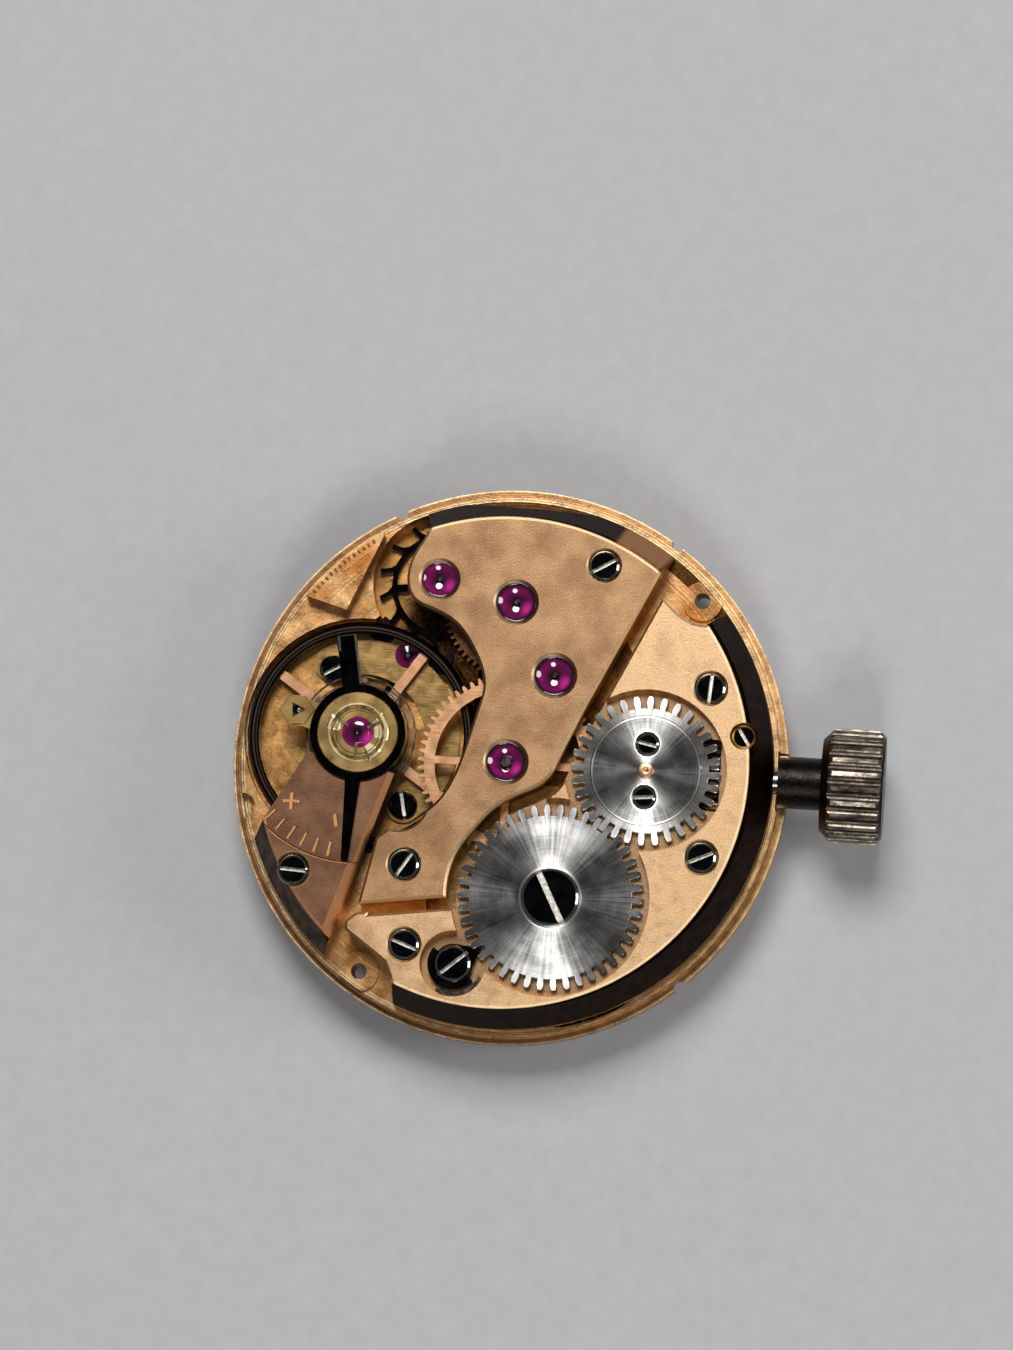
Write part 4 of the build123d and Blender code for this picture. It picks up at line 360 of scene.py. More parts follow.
def regulator_scale(tree):
    """What a graver cut on the cock: six strokes, a plus, a minus, and the bright edge of its sunk part."""
    turned = heading(tree, BALANCE)
    steps = add(tree, "ShaderNodeMapRange", {
        "Value": turned, "From Min": SCALE_FROM, "From Max": SCALE_TO, "To Min": 0.5, "To Max": 5.5}, clamp=False)
    part = add(tree, "ShaderNodeMath", {0: steps}, operation="FRACT")
    stroke = band(tree, part, 0.4, 0.6, 0.03)
    row = band(tree, turned, *SCALE_ROW, 0.2)
    ring = band(tree, away_from(tree, BALANCE), *SCALE_STROKES)
    marks = add(tree, "ShaderNodeMath", {0: stroke, 1: row}, operation="MULTIPLY")
    marks = add(tree, "ShaderNodeMath", {0: marks, 1: ring}, operation="MULTIPLY")
    for centre, length, width, turn in SCALE_SIGNS:
        cut = bar(tree, centre, turn, (-length, length), (-width, width))
        marks = add(tree, "ShaderNodeMath", {0: marks, 1: cut}, operation="MAXIMUM")
    step = band(tree, away_from(tree, BALANCE), *SCALE_STEP)
    return add(tree, "ShaderNodeMath", {0: marks, 1: step}, operation="MAXIMUM")


def plate_gilding(name):
    """Yellow gold plating on the brass plate: frosted and bright on the flats, mottled darker on the deep recesses'
    floors, with painted shade round the foot of the bridges and beside the balance, turned in fine rings round its
    edge whose bright lines are painted highlights over a painted light slope, and with a row of punched dots on its
    island."""
    material, tree, shader = begin(name, Metallic=1.0)
    specks = add(tree, "ShaderNodeTexNoise", {"Vector": here(tree), "Scale": 11.0, "Detail": 3.0})
    clouds = mottle(tree, here(tree), 0.9)
    out = away_from(tree, CENTRE)
    body = add(tree, "ShaderNodeMix", {0: clouds, 6: linear("#BE7E44"), 7: linear("#F4C084")}, **COLOURS)

    # The flange's turned rings, kept off its outer wall: their bright lines are painted highlights, over a painted
    # light slope from dark on the left to light on the right
    turned = add(tree, "ShaderNodeTexNoise", {"W": out, "Scale": 16.0, "Detail": 2.0}, noise_dimensions="1D")
    painted_light_slope = add(tree, "ShaderNodeMapRange", {
        "Value": add(tree, "ShaderNodeSeparateXYZ", {0: here(tree)}), "From Min": -6.0, "From Max": 8.0})
    ridge = add(tree, "ShaderNodeMix", {0: painted_light_slope, 6: linear("#8E5A34"), 7: linear("#DCA266")}, **COLOURS)
    flat = add(tree, "ShaderNodeMapRange", {"Value": facing(tree, 2), "From Min": 0.4, "From Max": 0.8})
    turned = add(tree, "ShaderNodeMath", {0: turned, 1: flat}, operation="MULTIPLY")
    shine = add(tree, "ShaderNodeMapRange", {"Value": turned, "From Min": 0.45, "From Max": 0.6})
    edge = add(tree, "ShaderNodeMix", {0: shine, 6: ridge, 7: linear("#FFE0AC")}, **COLOURS)
    flange = add(tree, "ShaderNodeMapRange", {"Value": out, "From Min": FLANGE_FROM, "From Max": FLANGE_TO})
    body = add(tree, "ShaderNodeMix", {0: flange, 6: body, 7: edge}, **COLOURS)

    # The recesses' floors, a ring of painted shade in the groove round the bridges, and the painted shade under the
    # train bridge
    floor_mottle = mottle(tree, here(tree), 0.9)
    floor = add(tree, "ShaderNodeMix", {0: floor_mottle, 6: linear("#94642E"), 7: linear("#ECB470")}, **COLOURS)
    deep = add(tree, "ShaderNodeMapRange", {"Value": height(tree), "From Min": RECESS_FROM, "From Max": RECESS_TO})
    inside = add(tree, "ShaderNodeMath", {0: deep, 1: flange}, operation="SUBTRACT", use_clamp=True)
    body = add(tree, "ShaderNodeMix", {0: inside, 6: body, 7: floor}, **COLOURS)
    row = heading(tree, CENTRE)
    painted_shade_ring = add(tree, "ShaderNodeMath", {0: band(tree, out, *SHADE_RING_RADII), 1: band(tree, row, *SHADE_RING_HEADINGS, 1.0)},
                operation="MULTIPLY")
    low = add(tree, "ShaderNodeMapRange", {"Value": height(tree), "From Min": SHADE_RING_FROM, "From Max": SHADE_RING_TO})
    painted_shade_ring = add(tree, "ShaderNodeMath", {0: painted_shade_ring, 1: low}, operation="MULTIPLY")
    body = add(tree, "ShaderNodeMix", {0: painted_shade_ring, 6: body, 7: linear("#4A2F18")}, **COLOURS)
    beside = add(tree, "ShaderNodeMath", {
        0: band(tree, away_from(tree, BALANCE), *SHADED_RADII, 0.1),
        1: band(tree, heading(tree, BALANCE), *SHADED_HEADINGS, 6.0)}, operation="MULTIPLY")
    body = add(tree, "ShaderNodeMix", {0: beside, 6: body, 7: linear("#2C1A0E")}, **COLOURS)
    tarnish = add(tree, "ShaderNodeMapRange", {"Value": specks, "From Min": 0.4, "From Max": 0.7, "To Max": 0.3})
    body = add(tree, "ShaderNodeMix", {0: tarnish, 6: body, 7: linear("#8A5E30")}, **COLOURS)

    # The island's punched dots
    beads = add(tree, "ShaderNodeMapRange", {
        "Value": row, "From Min": DOTS_FROM, "From Max": DOTS_TO, "To Min": 0.0, "To Max": DOTS}, clamp=False)
    beads = band(tree, add(tree, "ShaderNodeMath", {0: beads}, operation="FRACT"), 0.3, 0.7, 0.1)
    beads = add(tree, "ShaderNodeMath", {0: beads, 1: band(tree, out, *DOT_RADII)}, operation="MULTIPLY")
    beads = add(tree, "ShaderNodeMath", {0: beads, 1: band(tree, row, *DOT_ROW)}, operation="MULTIPLY")
    body = add(tree, "ShaderNodeMix", {0: beads, 6: body, 7: linear("#7A4C26")}, **COLOURS)
    tree.links.new(body, shader.inputs["Base Color"])
    tree.links.new(mottle(tree, here(tree), 0.4, 0.26, 0.38), shader.inputs["Roughness"])
    worked = add(tree, "ShaderNodeMath", {0: specks, 1: turned}, operation="ADD")
    relief(tree, shader, worked, 0.0035)
    return material


def circular_graining(name, centre, lit, deep, roughness, highlight_rings=()):
    """Hardened steel, circularly grained: fine rings round the piece's own axis, which fan the light out
    above and below the middle and leave its sides dark. The rings are drawn coarser than they are, and
    the bright rings it is given are painted highlights."""
    material, tree, shader = begin(name, Metallic=1.0, Anisotropic=0.95, Anisotropic_Rotation=0.25)
    out = away_from(tree, centre)
    rings = add(tree, "ShaderNodeTexNoise", {"W": out, "Scale": 18.0, "Detail": 3.0}, noise_dimensions="1D")
    spokes = add(tree, "ShaderNodeTexNoise", {"W": heading(tree, centre), "Scale": 0.3, "Detail": 4.0},
                 noise_dimensions="1D")
    clouds = mottle(tree, here(tree, centre), 0.7)
    tone = add(tree, "ShaderNodeMath", {0: spokes, 1: 1.2}, operation="MULTIPLY")
    tone = add(tree, "ShaderNodeMath", {0: tone, 1: clouds}, operation="ADD")
    tone = add(tree, "ShaderNodeMapRange", {"Value": tone, "From Min": 0.2, "From Max": 1.7})
    fine = add(tree, "ShaderNodeMath", {0: rings, 1: 0.35}, operation="MULTIPLY")
    tone = add(tree, "ShaderNodeMath", {0: tone, 1: fine}, operation="SUBTRACT", use_clamp=True)
    body = add(tree, "ShaderNodeMix", {0: tone, 6: linear(deep), 7: linear(lit)}, **COLOURS)
    for ring_centre, inner, outer in highlight_rings:
        ring = band(tree, away_from(tree, ring_centre), inner, outer)
        body = add(tree, "ShaderNodeMix", {0: ring, 6: body, 7: linear("#F4F2EE")}, **COLOURS)
    tree.links.new(body, shader.inputs["Base Color"])
    tree.links.new(mottle(tree, here(tree, centre), 0.5, roughness - 0.04, roughness + 0.04),
                   shader.inputs["Roughness"])
    tangent = add(tree, "ShaderNodeTangent", {}, direction_type="RADIAL", axis="Z")
    tree.links.new(tangent, shader.inputs["Tangent"])
    relief(tree, shader, rings, 0.0001)
    return material


def polished(name, lit, deep, roughness):
    """Metal polished on tin: deep and mirror like, dark where nothing bright stands over it, with a few hairline
    marks. Where its colours are near black they are a painted dark reflection."""
    material, tree, shader = begin(name, Metallic=1.0)
    scratches = mottle(tree, here(tree, squeeze=(1.0, 20.0, 1.0), turn=31.0), 0.6)
    clouds = mottle(tree, here(tree), 0.5)
    body = add(tree, "ShaderNodeMix", {0: clouds, 6: linear(deep), 7: linear(lit)}, **COLOURS)
    tree.links.new(body, shader.inputs["Base Color"])
    tree.links.new(mottle(tree, here(tree), 0.25, roughness * 0.75, roughness * 1.3), shader.inputs["Roughness"])
    relief(tree, shader, scratches, 0.0002)
    return material


def regulator_steel(name):
    """The regulator: steel polished black, its near black colour a painted dark reflection, with painted highlights
    along the broken edges of its short arm.
    """
    material, tree, shader = begin(name, Metallic=1.0)
    # Painted near black, a painted dark reflection
    body = add(tree, "ShaderNodeMix", {
        0: mottle(tree, here(tree), 0.4), 6: linear("#0E0E11"), 7: linear("#2C2C30")}, **COLOURS)
    edges = 0.0
    # Painted highlights along the short arm's edges
    for side, other, start, stop in ARM_HIGHLIGHTS:
        line = bar(tree, BALANCE, REGULATOR_ARM, (start, stop), (side, other))
        edges = add(tree, "ShaderNodeMath", {0: edges, 1: line}, operation="MAXIMUM")
    body = add(tree, "ShaderNodeMix", {0: edges, 6: body, 7: linear("#D8D2CA")}, **COLOURS)
    tree.links.new(body, shader.inputs["Base Color"])
    tree.links.new(mottle(tree, here(tree), 0.25, 0.08, 0.16), shader.inputs["Roughness"])
    return material


def slotted_steel(name, slot_floor, places, radius):
    """A screw of hardened steel: its face is black polished, its near black colour a painted dark reflection, with a
    chamfer round it that catches the lamps and is painted lighter as a highlight; its milled slot is painted bright,
    a painted highlight, and scratched by the screwdriver."""
    material, tree, shader = begin(name, Metallic=1.0)
    clouds = mottle(tree, here(tree), 0.4)
    body = add(tree, "ShaderNodeMix", {0: clouds, 6: linear("#1C1D21"), 7: linear("#3A3C40")}, **COLOURS)
    # The slot's floor is painted bright, a painted highlight, in scratched patches
    slot = band(tree, height(tree), slot_floor - SLOT_SOFT, slot_floor + SLOT_SOFT)
    brightening = mottle(tree, here(tree), 0.1, 0.6, 1.0)
    slot = add(tree, "ShaderNodeMath", {0: slot, 1: brightening}, operation="MULTIPLY")
    body = add(tree, "ShaderNodeMix", {0: slot, 6: body, 7: linear("#F4EEE0")}, **COLOURS)
    out = from_nearest(tree, places)
    # The chamfer's outer part is painted lighter, a painted highlight
    edge = add(tree, "ShaderNodeMapRange", {
        "Value": out, "From Min": radius - HEAD_CHAMFER, "From Max": radius - HEAD_EDGE})
    body = add(tree, "ShaderNodeMix", {0: edge, 6: body, 7: linear("#A8A6A4")}, **COLOURS)
    tree.links.new(body, shader.inputs["Base Color"])
    polish = add(tree, "ShaderNodeMix", {0: slot, 2: 0.1, 3: 0.5}, data_type="FLOAT")
    tree.links.new(polish, shader.inputs["Roughness"])
    chamfer = add(tree, "ShaderNodeMapRange", {
        "Value": out, "From Min": radius - HEAD_CHAMFER, "From Max": radius, "To Min": 1.0, "To Max": 0.0})
    relief(tree, shader, chamfer, 0.06)
    return material


def balance_gilding(name):
    """Gilt alloy of the balance: matte rose arms, and a turned, polished rim painted dark, a painted reflection of
    the dark round it, with thin bright rings painted as highlights and its edges painted near black as shade."""
    material, tree, shader = begin(name, Metallic=1.0)
    out = away_from(tree, BALANCE)
    clouds = mottle(tree, here(tree), 0.6)
    arms = add(tree, "ShaderNodeMix", {0: clouds, 6: linear("#C08A66"), 7: linear("#E0AE88")}, **COLOURS)
    # The rim: turned rings painted as thin bright highlights over a painted dark reflection
    rings = add(tree, "ShaderNodeTexNoise", {"W": out, "Scale": 9.0, "Detail": 2.0}, noise_dimensions="1D")
    bright = add(tree, "ShaderNodeMapRange", {"Value": rings, "From Min": 0.45, "From Max": 0.6})
    rim = add(tree, "ShaderNodeMix", {0: bright, 6: linear("#241712"), 7: linear("#A08478")}, **COLOURS)
    edge = band(tree, out, *RIM_FACE)
    rim = add(tree, "ShaderNodeMix", {0: edge, 6: linear("#1B120E"), 7: rim}, **COLOURS)
    zone = add(tree, "ShaderNodeMapRange", {"Value": out, "From Min": RIM_FROM, "From Max": RIM_TO})
    body = add(tree, "ShaderNodeMix", {0: zone, 6: arms, 7: rim}, **COLOURS)
    tree.links.new(body, shader.inputs["Base Color"])
    polish = add(tree, "ShaderNodeMix", {0: zone, 2: 0.36, 3: 0.16}, data_type="FLOAT")
    tree.links.new(polish, shader.inputs["Roughness"])
    relief(tree, shader, rings, 0.002)
    return material


def brushed_gilding(name, lit, deep, roughness, turn):
    """Gilt brass, drawn over paper one way: a soft straight grain, its shadows a deeper tone of the gilt."""
    material, tree, shader = begin(name, Metallic=1.0)
    grain = mottle(tree, here(tree, squeeze=(1.0, 12.0, 1.0), turn=turn), 0.5, detail=2.0)
    clouds = mottle(tree, here(tree), 0.7)
    tone = add(tree, "ShaderNodeMath", {0: grain, 1: clouds}, operation="ADD")
    tone = add(tree, "ShaderNodeMath", {0: tone, 1: 0.5}, operation="MULTIPLY")
    body = add(tree, "ShaderNodeMix", {0: tone, 6: linear(deep), 7: linear(lit)}, **COLOURS)
    tree.links.new(body, shader.inputs["Base Color"])
    tree.links.new(mottle(tree, here(tree), 0.3, roughness - 0.05, roughness + 0.05), shader.inputs["Roughness"])
    relief(tree, shader, grain, 0.0006)
    return material


def stud_gilding(name):
    """Olive gilt of the stud holder, painted black as shade where the stud's hole goes down."""
    material, tree, shader = begin(name, Metallic=1.0, Roughness=0.34)
    body = add(tree, "ShaderNodeMix", {
        0: mottle(tree, here(tree), 0.5), 6: linear("#8A6C3E"), 7: linear("#B0905A")}, **COLOURS)
    # The hole is painted black, painted shade
    hole = band(tree, away_from(tree, STUD), *STUD_HOLE)
    hole = add(tree, "ShaderNodeMath", {0: hole, 1: band(tree, height(tree), *STUD_HOLE_HEIGHTS)},
               operation="MULTIPLY")
    body = add(tree, "ShaderNodeMix", {0: hole, 6: body, 7: linear("#0A0806")}, **COLOURS)
    tree.links.new(body, shader.inputs["Base Color"])
    return material


def turned_brass(name):
    """The gilt block of the shock setting: smooth olive gold, with bright turned lips round its jewel and
    the three horns that its spring hooks under."""
    material, tree, shader = begin(name, Metallic=1.0)
    out = away_from(tree, BALANCE)
    clouds = mottle(tree, here(tree), 1.2)
    body = add(tree, "ShaderNodeMix", {0: clouds, 6: linear("#9A7C4C"), 7: linear("#C2A066")}, **COLOURS)
    lips = [band(tree, out, *lip) for lip in SHOCK_LIPS]
    lips = add(tree, "ShaderNodeMath", {0: lips[0], 1: lips[1]}, operation="MAXIMUM")
    body = add(tree, "ShaderNodeMix", {0: lips, 6: body, 7: linear("#F0D49A")}, **COLOURS)
    turned_to = heading(tree, BALANCE)
    horns = 0.0
    for start, stop, near in SHOCK_HORNS:
        horn = add(tree, "ShaderNodeMath", {
            0: band(tree, turned_to, start, stop, 2.0), 1: band(tree, out, near, SHOCK_EDGE)},
            operation="MULTIPLY")
        horns = add(tree, "ShaderNodeMath", {0: horns, 1: horn}, operation="MAXIMUM")
    body = add(tree, "ShaderNodeMix", {0: horns, 6: body, 7: linear("#F2DCA8")}, **COLOURS)
    tree.links.new(body, shader.inputs["Base Color"])
    tree.links.new(mottle(tree, here(tree), 0.4, 0.26, 0.36), shader.inputs["Roughness"])
    relief(tree, shader, horns, 0.02)
    return material


def ruby(name, places):
    """Synthetic ruby, ground and polished: deep purple red, with painted shade making it almost black over its
    pierced middle and dark round its edge, and a painted glow on the side where light would come up through its
    edge."""
    material, tree, shader = begin(name, Roughness=0.06, IOR=1.77)
    # A painted glow beside each jewel, where light would come up through its edge
    lighter = 0.0
    for place in places:
        glow_at = (place[0] + JEWEL_GLOW[0], place[1] + JEWEL_GLOW[1])
        spot = add(tree, "ShaderNodeMapRange", {
            "Value": away_from(tree, glow_at), "From Min": 0.26, "From Max": 0.04})
        lighter = add(tree, "ShaderNodeMath", {0: spot, 1: lighter}, operation="MAXIMUM")
    out = from_nearest(tree, places)
    # A painted dark core over the pierced middle, painted shade
    depth = add(tree, "ShaderNodeMapRange", {"Value": out, "From Min": 0.1, "From Max": 0.42})
    clouds = mottle(tree, here(tree), 0.25, 0.0, 0.6)
    body = add(tree, "ShaderNodeMix", {0: clouds, 6: linear("#5A0840"), 7: linear("#920E62")}, **COLOURS)
    body = add(tree, "ShaderNodeMix", {0: lighter, 6: body, 7: linear("#D8309C")}, **COLOURS)
    # Painted shade round the jewel's edge
    shaded = add(tree, "ShaderNodeMapRange", {"Value": out, "From Min": 0.46, "From Max": 0.56})
    body = add(tree, "ShaderNodeMix", {0: shaded, 6: body, 7: linear("#24021A")}, **COLOURS)
    body = add(tree, "ShaderNodeMix", {0: depth, 6: linear("#0E010A"), 7: body}, **COLOURS)
    tree.links.new(body, shader.inputs["Base Color"])
    return material


def dulled_nickel(name):
    """Nickel plate on the crown, dulled by handling. It is near black in the flutes and bright and a little warm
    in patches on the ridges, and its neck is painted near black, a painted dark reflection."""
    material, tree, shader = begin(name, Metallic=1.0)
    across = add(tree, "ShaderNodeMapping", {
        "Vector": add(tree, "ShaderNodeTexCoord", {}, out=3),
        "Scale": (0.0, 1 / MM, 1 / MM), "Location": (0.0, 0.0, -STEM_HEIGHT)})
    out = add(tree, "ShaderNodeVectorMath", {0: across}, out=1, operation="LENGTH")
    brightening = add(tree, "ShaderNodeMapRange", {"Value": out, "From Min": FLUTE_BOTTOM, "From Max": RIDGE_TOP})
    patches = mottle(tree, here(tree, squeeze=(0.5, 1.0, 1.0)), 0.3, 0.1, 1.2)
    share = add(tree, "ShaderNodeMath", {0: brightening, 1: patches}, operation="MULTIPLY")
    body = add(tree, "ShaderNodeMix", {0: share, 6: linear("#2E2722"), 7: linear("#9A8E7E")}, **COLOURS)
    # The neck is painted near black, a painted dark reflection
    neck = add(tree, "ShaderNodeMapRange", {"Value": out, "From Min": CROWN_BODY, "From Max": CROWN_NECK})
    body = add(tree, "ShaderNodeMix", {0: neck, 6: body, 7: linear("#1E1A18")}, **COLOURS)
    tree.links.new(body, shader.inputs["Base Color"])
    tree.links.new(mottle(tree, here(tree), 0.2, 0.26, 0.44), shader.inputs["Roughness"])
    relief(tree, shader, mottle(tree, here(tree), 0.09), 0.004)
    return material


# Each bridge's fourth colour is the painted dark reflection on its bevel, and its last number how strongly its flats
# are painted lighter towards the stem
train_gilt = bridge_gilding("rose_gilt_train_bridge", "#C0976F", "#8E6B4C", "#FFDCA8", "#3A2618",
                            TRAIN_SCREWS + TRAIN_JEWELS, brightening=0.4)
barrel_gilt = bridge_gilding("rose_gilt_barrel_bridge", "#E6BE90", "#AA8058", "#FFE0B0", "#33200F",
                             BARREL_SCREWS, brightening=0.9)
cock_gilt = bridge_gilding("rose_gilt_balance_cock", "#8E6850", "#684A38", "#C48E60", "#6E4E38",
                           COCK_SCREWS, regulator_scale)
plate_gilt = plate_gilding("yellow_gilt_brass")
# Black polished steel, its near black colours a painted dark reflection
black_steel = polished("black_polished_steel", "#3C3C40", "#131316", 0.1)
pinion_steel = polished("burnished_pinion_steel", "#8A8580", "#56524F", 0.22)
spring_steel = polished("tempered_spring_steel", "#8A8378", "#5C564E", 0.25)
wheel_gilt = brushed_gilding("grained_rose_gilt_wheel", "#EDB98C", "#CB9468", 0.34, 20.0)
# A darker copy of the wheel gilt for the third and fourth wheels, painted shade
shaded_gilt = brushed_gilding("shaded_gilt_wheel", "#8A6442", "#5C4028", 0.34, 20.0)
olive_gilt = brushed_gilding("brushed_olive_gilt", "#C7A268", "#86663A", 0.32, 70.0)
stud_gilt = stud_gilding("olive_stud_gilt")
shock_gilt = turned_brass("turned_gilt_brass")
lyre_gilt = polished("gilt_spring_steel", "#F5DCA6", "#C79C58", 0.18)

FINISHES = {
    plate_gilt: ["main_plate", "dial_screws"],
    train_gilt: ["train_bridge"],
    barrel_gilt: ["barrel_bridge"],
    cock_gilt: ["balance_cock"],
    olive_gilt: ["pallet_bridge", "barrel_drum", "barrel_cover"],
    stud_gilt: ["stud_holder"],
    shock_gilt: ["shock_settings"],
    lyre_gilt: ["shock_springs"],
    # Each screw's finish takes the height of its slot's floor, its places and its head's radius
    slotted_steel("slotted_bridge_screw_steel", 2.35, TRAIN_SCREWS + BARREL_SCREWS + COCK_SCREWS, 0.49):
        ["bridge_screws"],
    slotted_steel("slotted_click_screw_steel", 2.35, CLICK_SCREWS, 0.575): ["click_screw"],
    slotted_steel("slotted_core_screw_steel", 2.30, CORE_SCREWS, 0.375): ["crown_wheel_screws"],
    slotted_steel("slotted_ratchet_screw_steel", 2.38, (BARREL,), 0.91): ["ratchet_screw"],
    slotted_steel("slotted_lever_screw_steel", 2.10, LEVER_SCREWS, 0.4): ["setting_lever_screw"],
    slotted_steel("slotted_pallet_screw_steel", 0.95, PALLET_SCREWS, 0.45): ["pallet_bridge_screws"],
    slotted_steel("slotted_keyless_screw_steel", 0.15, KEYLESS_SCREWS, 0.24): ["keyless_screws"],
    # The hairspring stud is black so that the stud's hole reads dark, painted shade
    black_steel: ["click", "pallet_fork", "escape_wheel", "hairspring_stud"],
    regulator_steel("black_polished_regulator"): ["regulator"],
    pinion_steel: ["centre_arbor", "third_pinion", "fourth_pinion", "escape_pinion", "balance_staff",
                   "pallet_arbor", "cannon_pinion", "winding_pinion", "sliding_pinion", "winding_stem",
                   "setting_lever", "yoke", "barrel_arbor", "collet", "setting_wheel"],
    spring_steel: ["click_spring", "yoke_spring", "setting_lever_jumper", "hairspring", "mainspring"],
    ruby("polished_ruby", TRAIN_JEWELS + (PALLET, BALANCE)):
        ["upper_train_jewels", "lower_train_jewels", "pallet_jewels", "shock_jewels", "pallet_stones",
         "impulse_jewel"],
    dulled_nickel("dulled_crown_nickel"): ["crown"],
    balance_gilding("turned_balance_gilt"): ["balance_wheel", "roller"],
    wheel_gilt: ["centre_wheel", "minute_wheel", "hour_wheel"],
    shaded_gilt: ["third_wheel", "fourth_wheel"],
    circular_graining("grained_ratchet_steel", BARREL, "#CCCAC6", "#666565", 0.4, RATCHET_HIGHLIGHTS):
        ["ratchet_wheel"],
    circular_graining("grained_crown_wheel_steel", CROWN_WHEEL, "#E0DCD6", "#8E8A86", 0.4): ["crown_wheel"],
    circular_graining("grained_core_steel", CROWN_WHEEL, "#CCCAC6", "#666565", 0.38, CORE_HIGHLIGHTS):
        ["crown_wheel_core"],
}
for finish, names in FINISHES.items():
    for name in names:
        for slot in nodes[name].material_slots:
            slot.material = finish


# Small pieces of the movement

def finished(name, shape, finish, body, smooth=True):
    """Closes a shape into a piece that rides on a body, shaded smooth or flat."""
    bmesh.ops.remove_doubles(shape, verts=shape.verts, dist=WELD)
    bmesh.ops.recalc_face_normals(shape, faces=shape.faces)
    mesh = bpy.data.meshes.new(name)
    shape.to_mesh(mesh)
    shape.free()
    mesh.materials.append(finish)
    for polygon in mesh.polygons:
        polygon.use_smooth = smooth
    piece = bpy.data.objects.new(name, mesh)
    bpy.context.scene.collection.objects.link(piece)
    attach(piece, body)
    return piece


def turned(shape, centre, profile):
    """Spins a profile of radius and height in mm round an upright axis; a closed one makes a ring."""
    corners = [shape.verts.new(((centre[0] + radius) * MM, centre[1] * MM, level * MM))
               for radius, level in profile]
    edges = [shape.edges.new(pair) for pair in zip(corners, corners[1:] + corners[:1])]
    bmesh.ops.spin(shape, geom=corners + edges, cent=(centre[0] * MM, centre[1] * MM, 0.0),
                   axis=(0.0, 0.0, 1.0), angle=math.tau, steps=SPIN_STEPS, use_merge=True)


def pierced_plate(centre, outer, inner, bottom, top, chamfer):
    """A flat plate with a hole, from two outlines of radius and angle, with its upper outer edge broken."""
    shape = bmesh.new()
    rings = [[shape.verts.new(((centre[0] + radius * math.cos(angle)) * MM,
                               (centre[1] + radius * math.sin(angle)) * MM, level * MM))
              for radius, angle in outline]
             for outline, level in ((outer, top), (inner, top), (inner, bottom), (outer, bottom))]
    for upper, lower in zip(rings, rings[1:] + rings[:1]):
        for number in range(len(outer)):
            shape.faces.new((upper[number - 1], upper[number], lower[number], lower[number - 1]))
    bmesh.ops.bevel(shape, geom=[edge for edge in shape.edges if set(edge.verts) <= set(rings[0])],
                    offset=chamfer * MM, affect="EDGES", segments=2, profile=0.5, material=-1)
    return shape


def toothed_ring(centre, bore, root, tip, teeth, phase):
    """A winding wheel: blunt teeth with round shoulders, and a fine chamfer round its upper edge."""
    pitch = (root + tip) / 2
    # One flank from root to tip: radius, and half the tooth's width as a share of the tooth spacing
    flank = ((root, 0.3), (root + 0.05, 0.265), (pitch, 0.248), (tip - 0.08, 0.24), (tip - 0.03, 0.21), (tip, 0.13))
    tooth = [(radius, -share) for radius, share in flank] + [(radius, share) for radius, share in reversed(flank)]
    outline = [(radius, math.radians(phase + (number + share) * 360 / teeth))
               for number in range(teeth) for radius, share in tooth]
    return pierced_plate(centre, outline, [(bore, angle) for _, angle in outline], WHEEL_BOTTOM, WHEEL_TOP,
                         WHEEL_CHAMFER)


def sunk_jewel(radius, bore):
    """Half section of a pierced jewel: its whole face is a round oil sink down to the bore."""
    lip = radius - JEWEL_SHOULDER
    sink = [bore + (lip - bore) * step / SINK_STEPS for step in range(SINK_STEPS + 1)]
    return ([(bore, JEWEL_BOTTOM)]
            + [(r, JEWEL_TOP - math.sqrt(SINK_CURVE ** 2 - r ** 2) + math.sqrt(SINK_CURVE ** 2 - lip ** 2))
               for r in sink]
            + [(radius, JEWEL_TOP - JEWEL_SHOULDER), (radius, JEWEL_BOTTOM)])


for name, body, centre, bore, root, tip, teeth, phase in (
        ("blunt_ratchet_wheel", "ratchet", BARREL,
         RATCHET_BORE, RATCHET_ROOT, RATCHET_TIP, RATCHET_TEETH, RATCHET_PHASE),
        ("blunt_crown_wheel", "crown_wheel", CROWN_WHEEL,
         CROWN_BORE, CROWN_ROOT, CROWN_TIP, CROWN_TEETH, CROWN_PHASE)):
    node = name.replace("blunt_", "")
    wheel = finished(name, toothed_ring(centre, bore, root, tip, teeth, phase),
                     nodes[node].material_slots[0].material, body, smooth=False)
    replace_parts(wheel, node)

jewels = bmesh.new()
for place, radius, bore in JEWEL_SIZES:
    turned(jewels, place, sunk_jewel(radius, bore))
upper_ruby = ruby("ground_ruby", TRAIN_JEWELS)
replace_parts(finished("sunk_train_jewels", jewels, upper_ruby, "movement"), "upper_train_jewels")

# The stud's six-sided plate with its three-sided hole, and the pin's face in it
corners, opening = [[(radius, math.radians(angle + STUD_TURN)) for angle, radius in outline]
                    for outline in (STUD_CORNERS, STUD_OPENING)]
stud = pierced_plate(STUD, corners, opening, STUD_BOTTOM, STUD_TOP, STUD_CHAMFER)
finished("stud_plate", stud, stud_gilt, "movement", smooth=False)
pin = bmesh.new()
turned(pin, STUD_PIN_AT, STUD_PIN)
finished("stud_pin_face", pin, pinion_steel, "movement")

# The cap jewel's domed face, and the gilt post that the crown wheel's core sits on
dome = bmesh.new()
turned(dome, BALANCE, CAP_JEWEL)
finished("cap_jewel_face", dome, ruby("domed_ruby", (BALANCE,)), "movement")
post = bmesh.new()
turned(post, CROWN_WHEEL, CORE_POST)
finished("core_post", post, wheel_gilt, "movement")


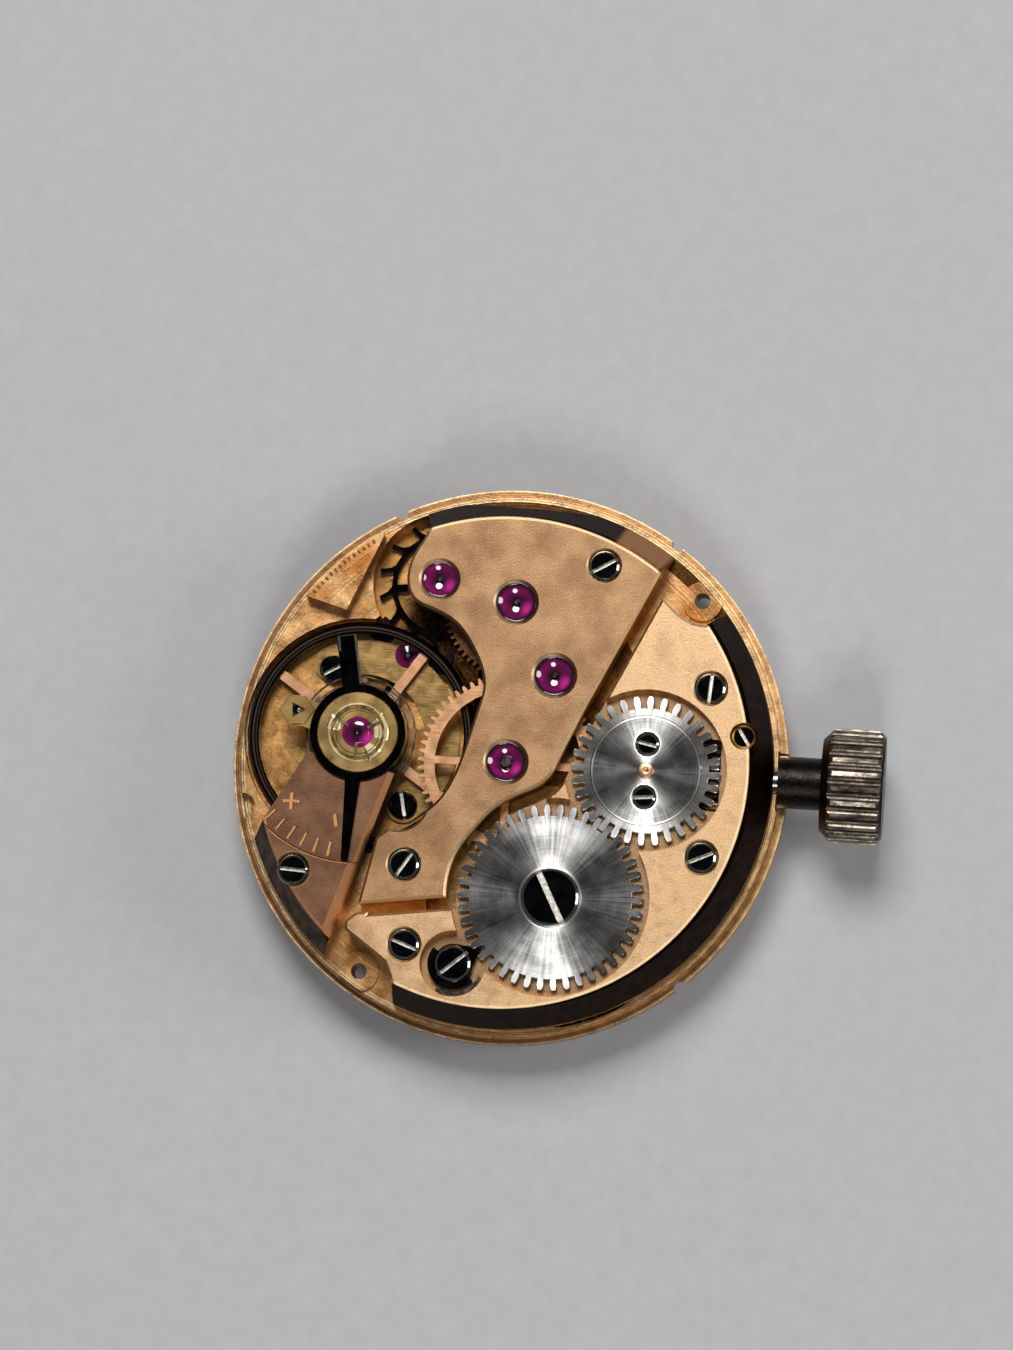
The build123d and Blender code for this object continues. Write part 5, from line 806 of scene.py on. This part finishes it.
# Floor, lamps and camera: the floor's radius in metres, and its gap under the movement in mm
FLOOR_RADIUS = 3.0
FLOOR_GAP = 0.02
# Each lamp's name, azimuth and elevation in degrees, distance and width in metres, and watts
LAMPS = (("softbox_top", 96, 58, 0.45, 0.20, 1.6), ("softbox_low", -84, 48, 0.5, 0.16, 0.75),
         ("softbox_right", 3, 27, 0.5, 0.2, 0.8))
ROOM_COLOUR, ROOM_STRENGTH = "#B9B9BB", 0.17


def studio_floor():
    """A plain pale floor of matte board, just under the movement."""
    shape = bmesh.new()
    bmesh.ops.create_circle(shape, cap_ends=True, segments=64, radius=FLOOR_RADIUS,
                            matrix=Matrix.Translation((0, 0, cad_box[0][2] - FLOOR_GAP * MM)))
    mesh = bpy.data.meshes.new("studio_floor")
    shape.to_mesh(mesh)
    shape.free()
    material, tree, shader = begin("pale_floor", Roughness=0.85)
    board = mottle(tree, here(tree), 0.5, detail=2.0)
    body = add(tree, "ShaderNodeMix", {0: board, 6: linear("#AEADAE"), 7: linear("#B2B1B2")}, **COLOURS)
    tree.links.new(body, shader.inputs["Base Color"])
    mesh.materials.append(material)
    floor = bpy.data.objects.new("studio_floor", mesh)
    bpy.context.scene.collection.objects.link(floor)


def softbox(name, azimuth, elevation, distance, width, power):
    """A round soft lamp that faces the movement."""
    lamp = bpy.data.lights.new(name, "AREA")
    lamp.shape = "DISK"
    lamp.size = width
    lamp.energy = power
    holder = bpy.data.objects.new(name, lamp)
    bpy.context.scene.collection.objects.link(holder)
    az, el = math.radians(azimuth), math.radians(elevation)
    spot = Vector((math.cos(el) * math.cos(az), math.cos(el) * math.sin(az), math.sin(el)))
    holder.location = spot * distance
    holder.rotation_euler = spot.to_track_quat("Z", "Y").to_euler()


studio_floor()
for lamp_row in LAMPS:
    softbox(*lamp_row)
world = bpy.data.worlds.new("studio")
bpy.context.scene.world = world
world.use_nodes = True
sky = world.node_tree.nodes["Background"]
sky.inputs["Color"].default_value = linear(ROOM_COLOUR)
sky.inputs["Strength"].default_value = ROOM_STRENGTH

# The photograph looks down from the lower right of the frame, a few degrees off the plate's axis
PHOTO_WIDTH = 1013
FOCAL_PIXELS = 6027.4
SENSOR = 36.0
CAMERA_AZIMUTH, CAMERA_ELEVATION, CAMERA_ROLL = -48.56, 82.53, 3.91
CAMERA_DISTANCE = 188.0
CAMERA_AIM = (-0.172, 2.720, 2.4)
NEAR, FAR = 0.002, 20.0

camera_data = bpy.data.cameras.new("photo_camera")
camera_data.sensor_fit = "HORIZONTAL"
camera_data.sensor_width = SENSOR
camera_data.lens = FOCAL_PIXELS * SENSOR / PHOTO_WIDTH
camera_data.clip_start = NEAR
camera_data.clip_end = FAR
camera = bpy.data.objects.new("photo_camera", camera_data)
bpy.context.scene.collection.objects.link(camera)
azimuth, elevation, roll = [math.radians(angle) for angle in (CAMERA_AZIMUTH, CAMERA_ELEVATION, CAMERA_ROLL)]
towards = Vector((math.cos(elevation) * math.cos(azimuth), math.cos(elevation) * math.sin(azimuth),
                  math.sin(elevation)))
right = Vector((0, 1, 0)).cross(towards).normalized()
up = towards.cross(right)
turned_right = right * math.cos(roll) + up * math.sin(roll)
turned_up = up * math.cos(roll) - right * math.sin(roll)
stance = Matrix((turned_right, turned_up, towards)).transposed().to_4x4()
camera.matrix_world = Matrix.Translation((Vector(CAMERA_AIM) + towards * CAMERA_DISTANCE) * MM) @ stance
bpy.context.scene.camera = camera

bpy.context.scene.view_settings.view_transform = "Standard"
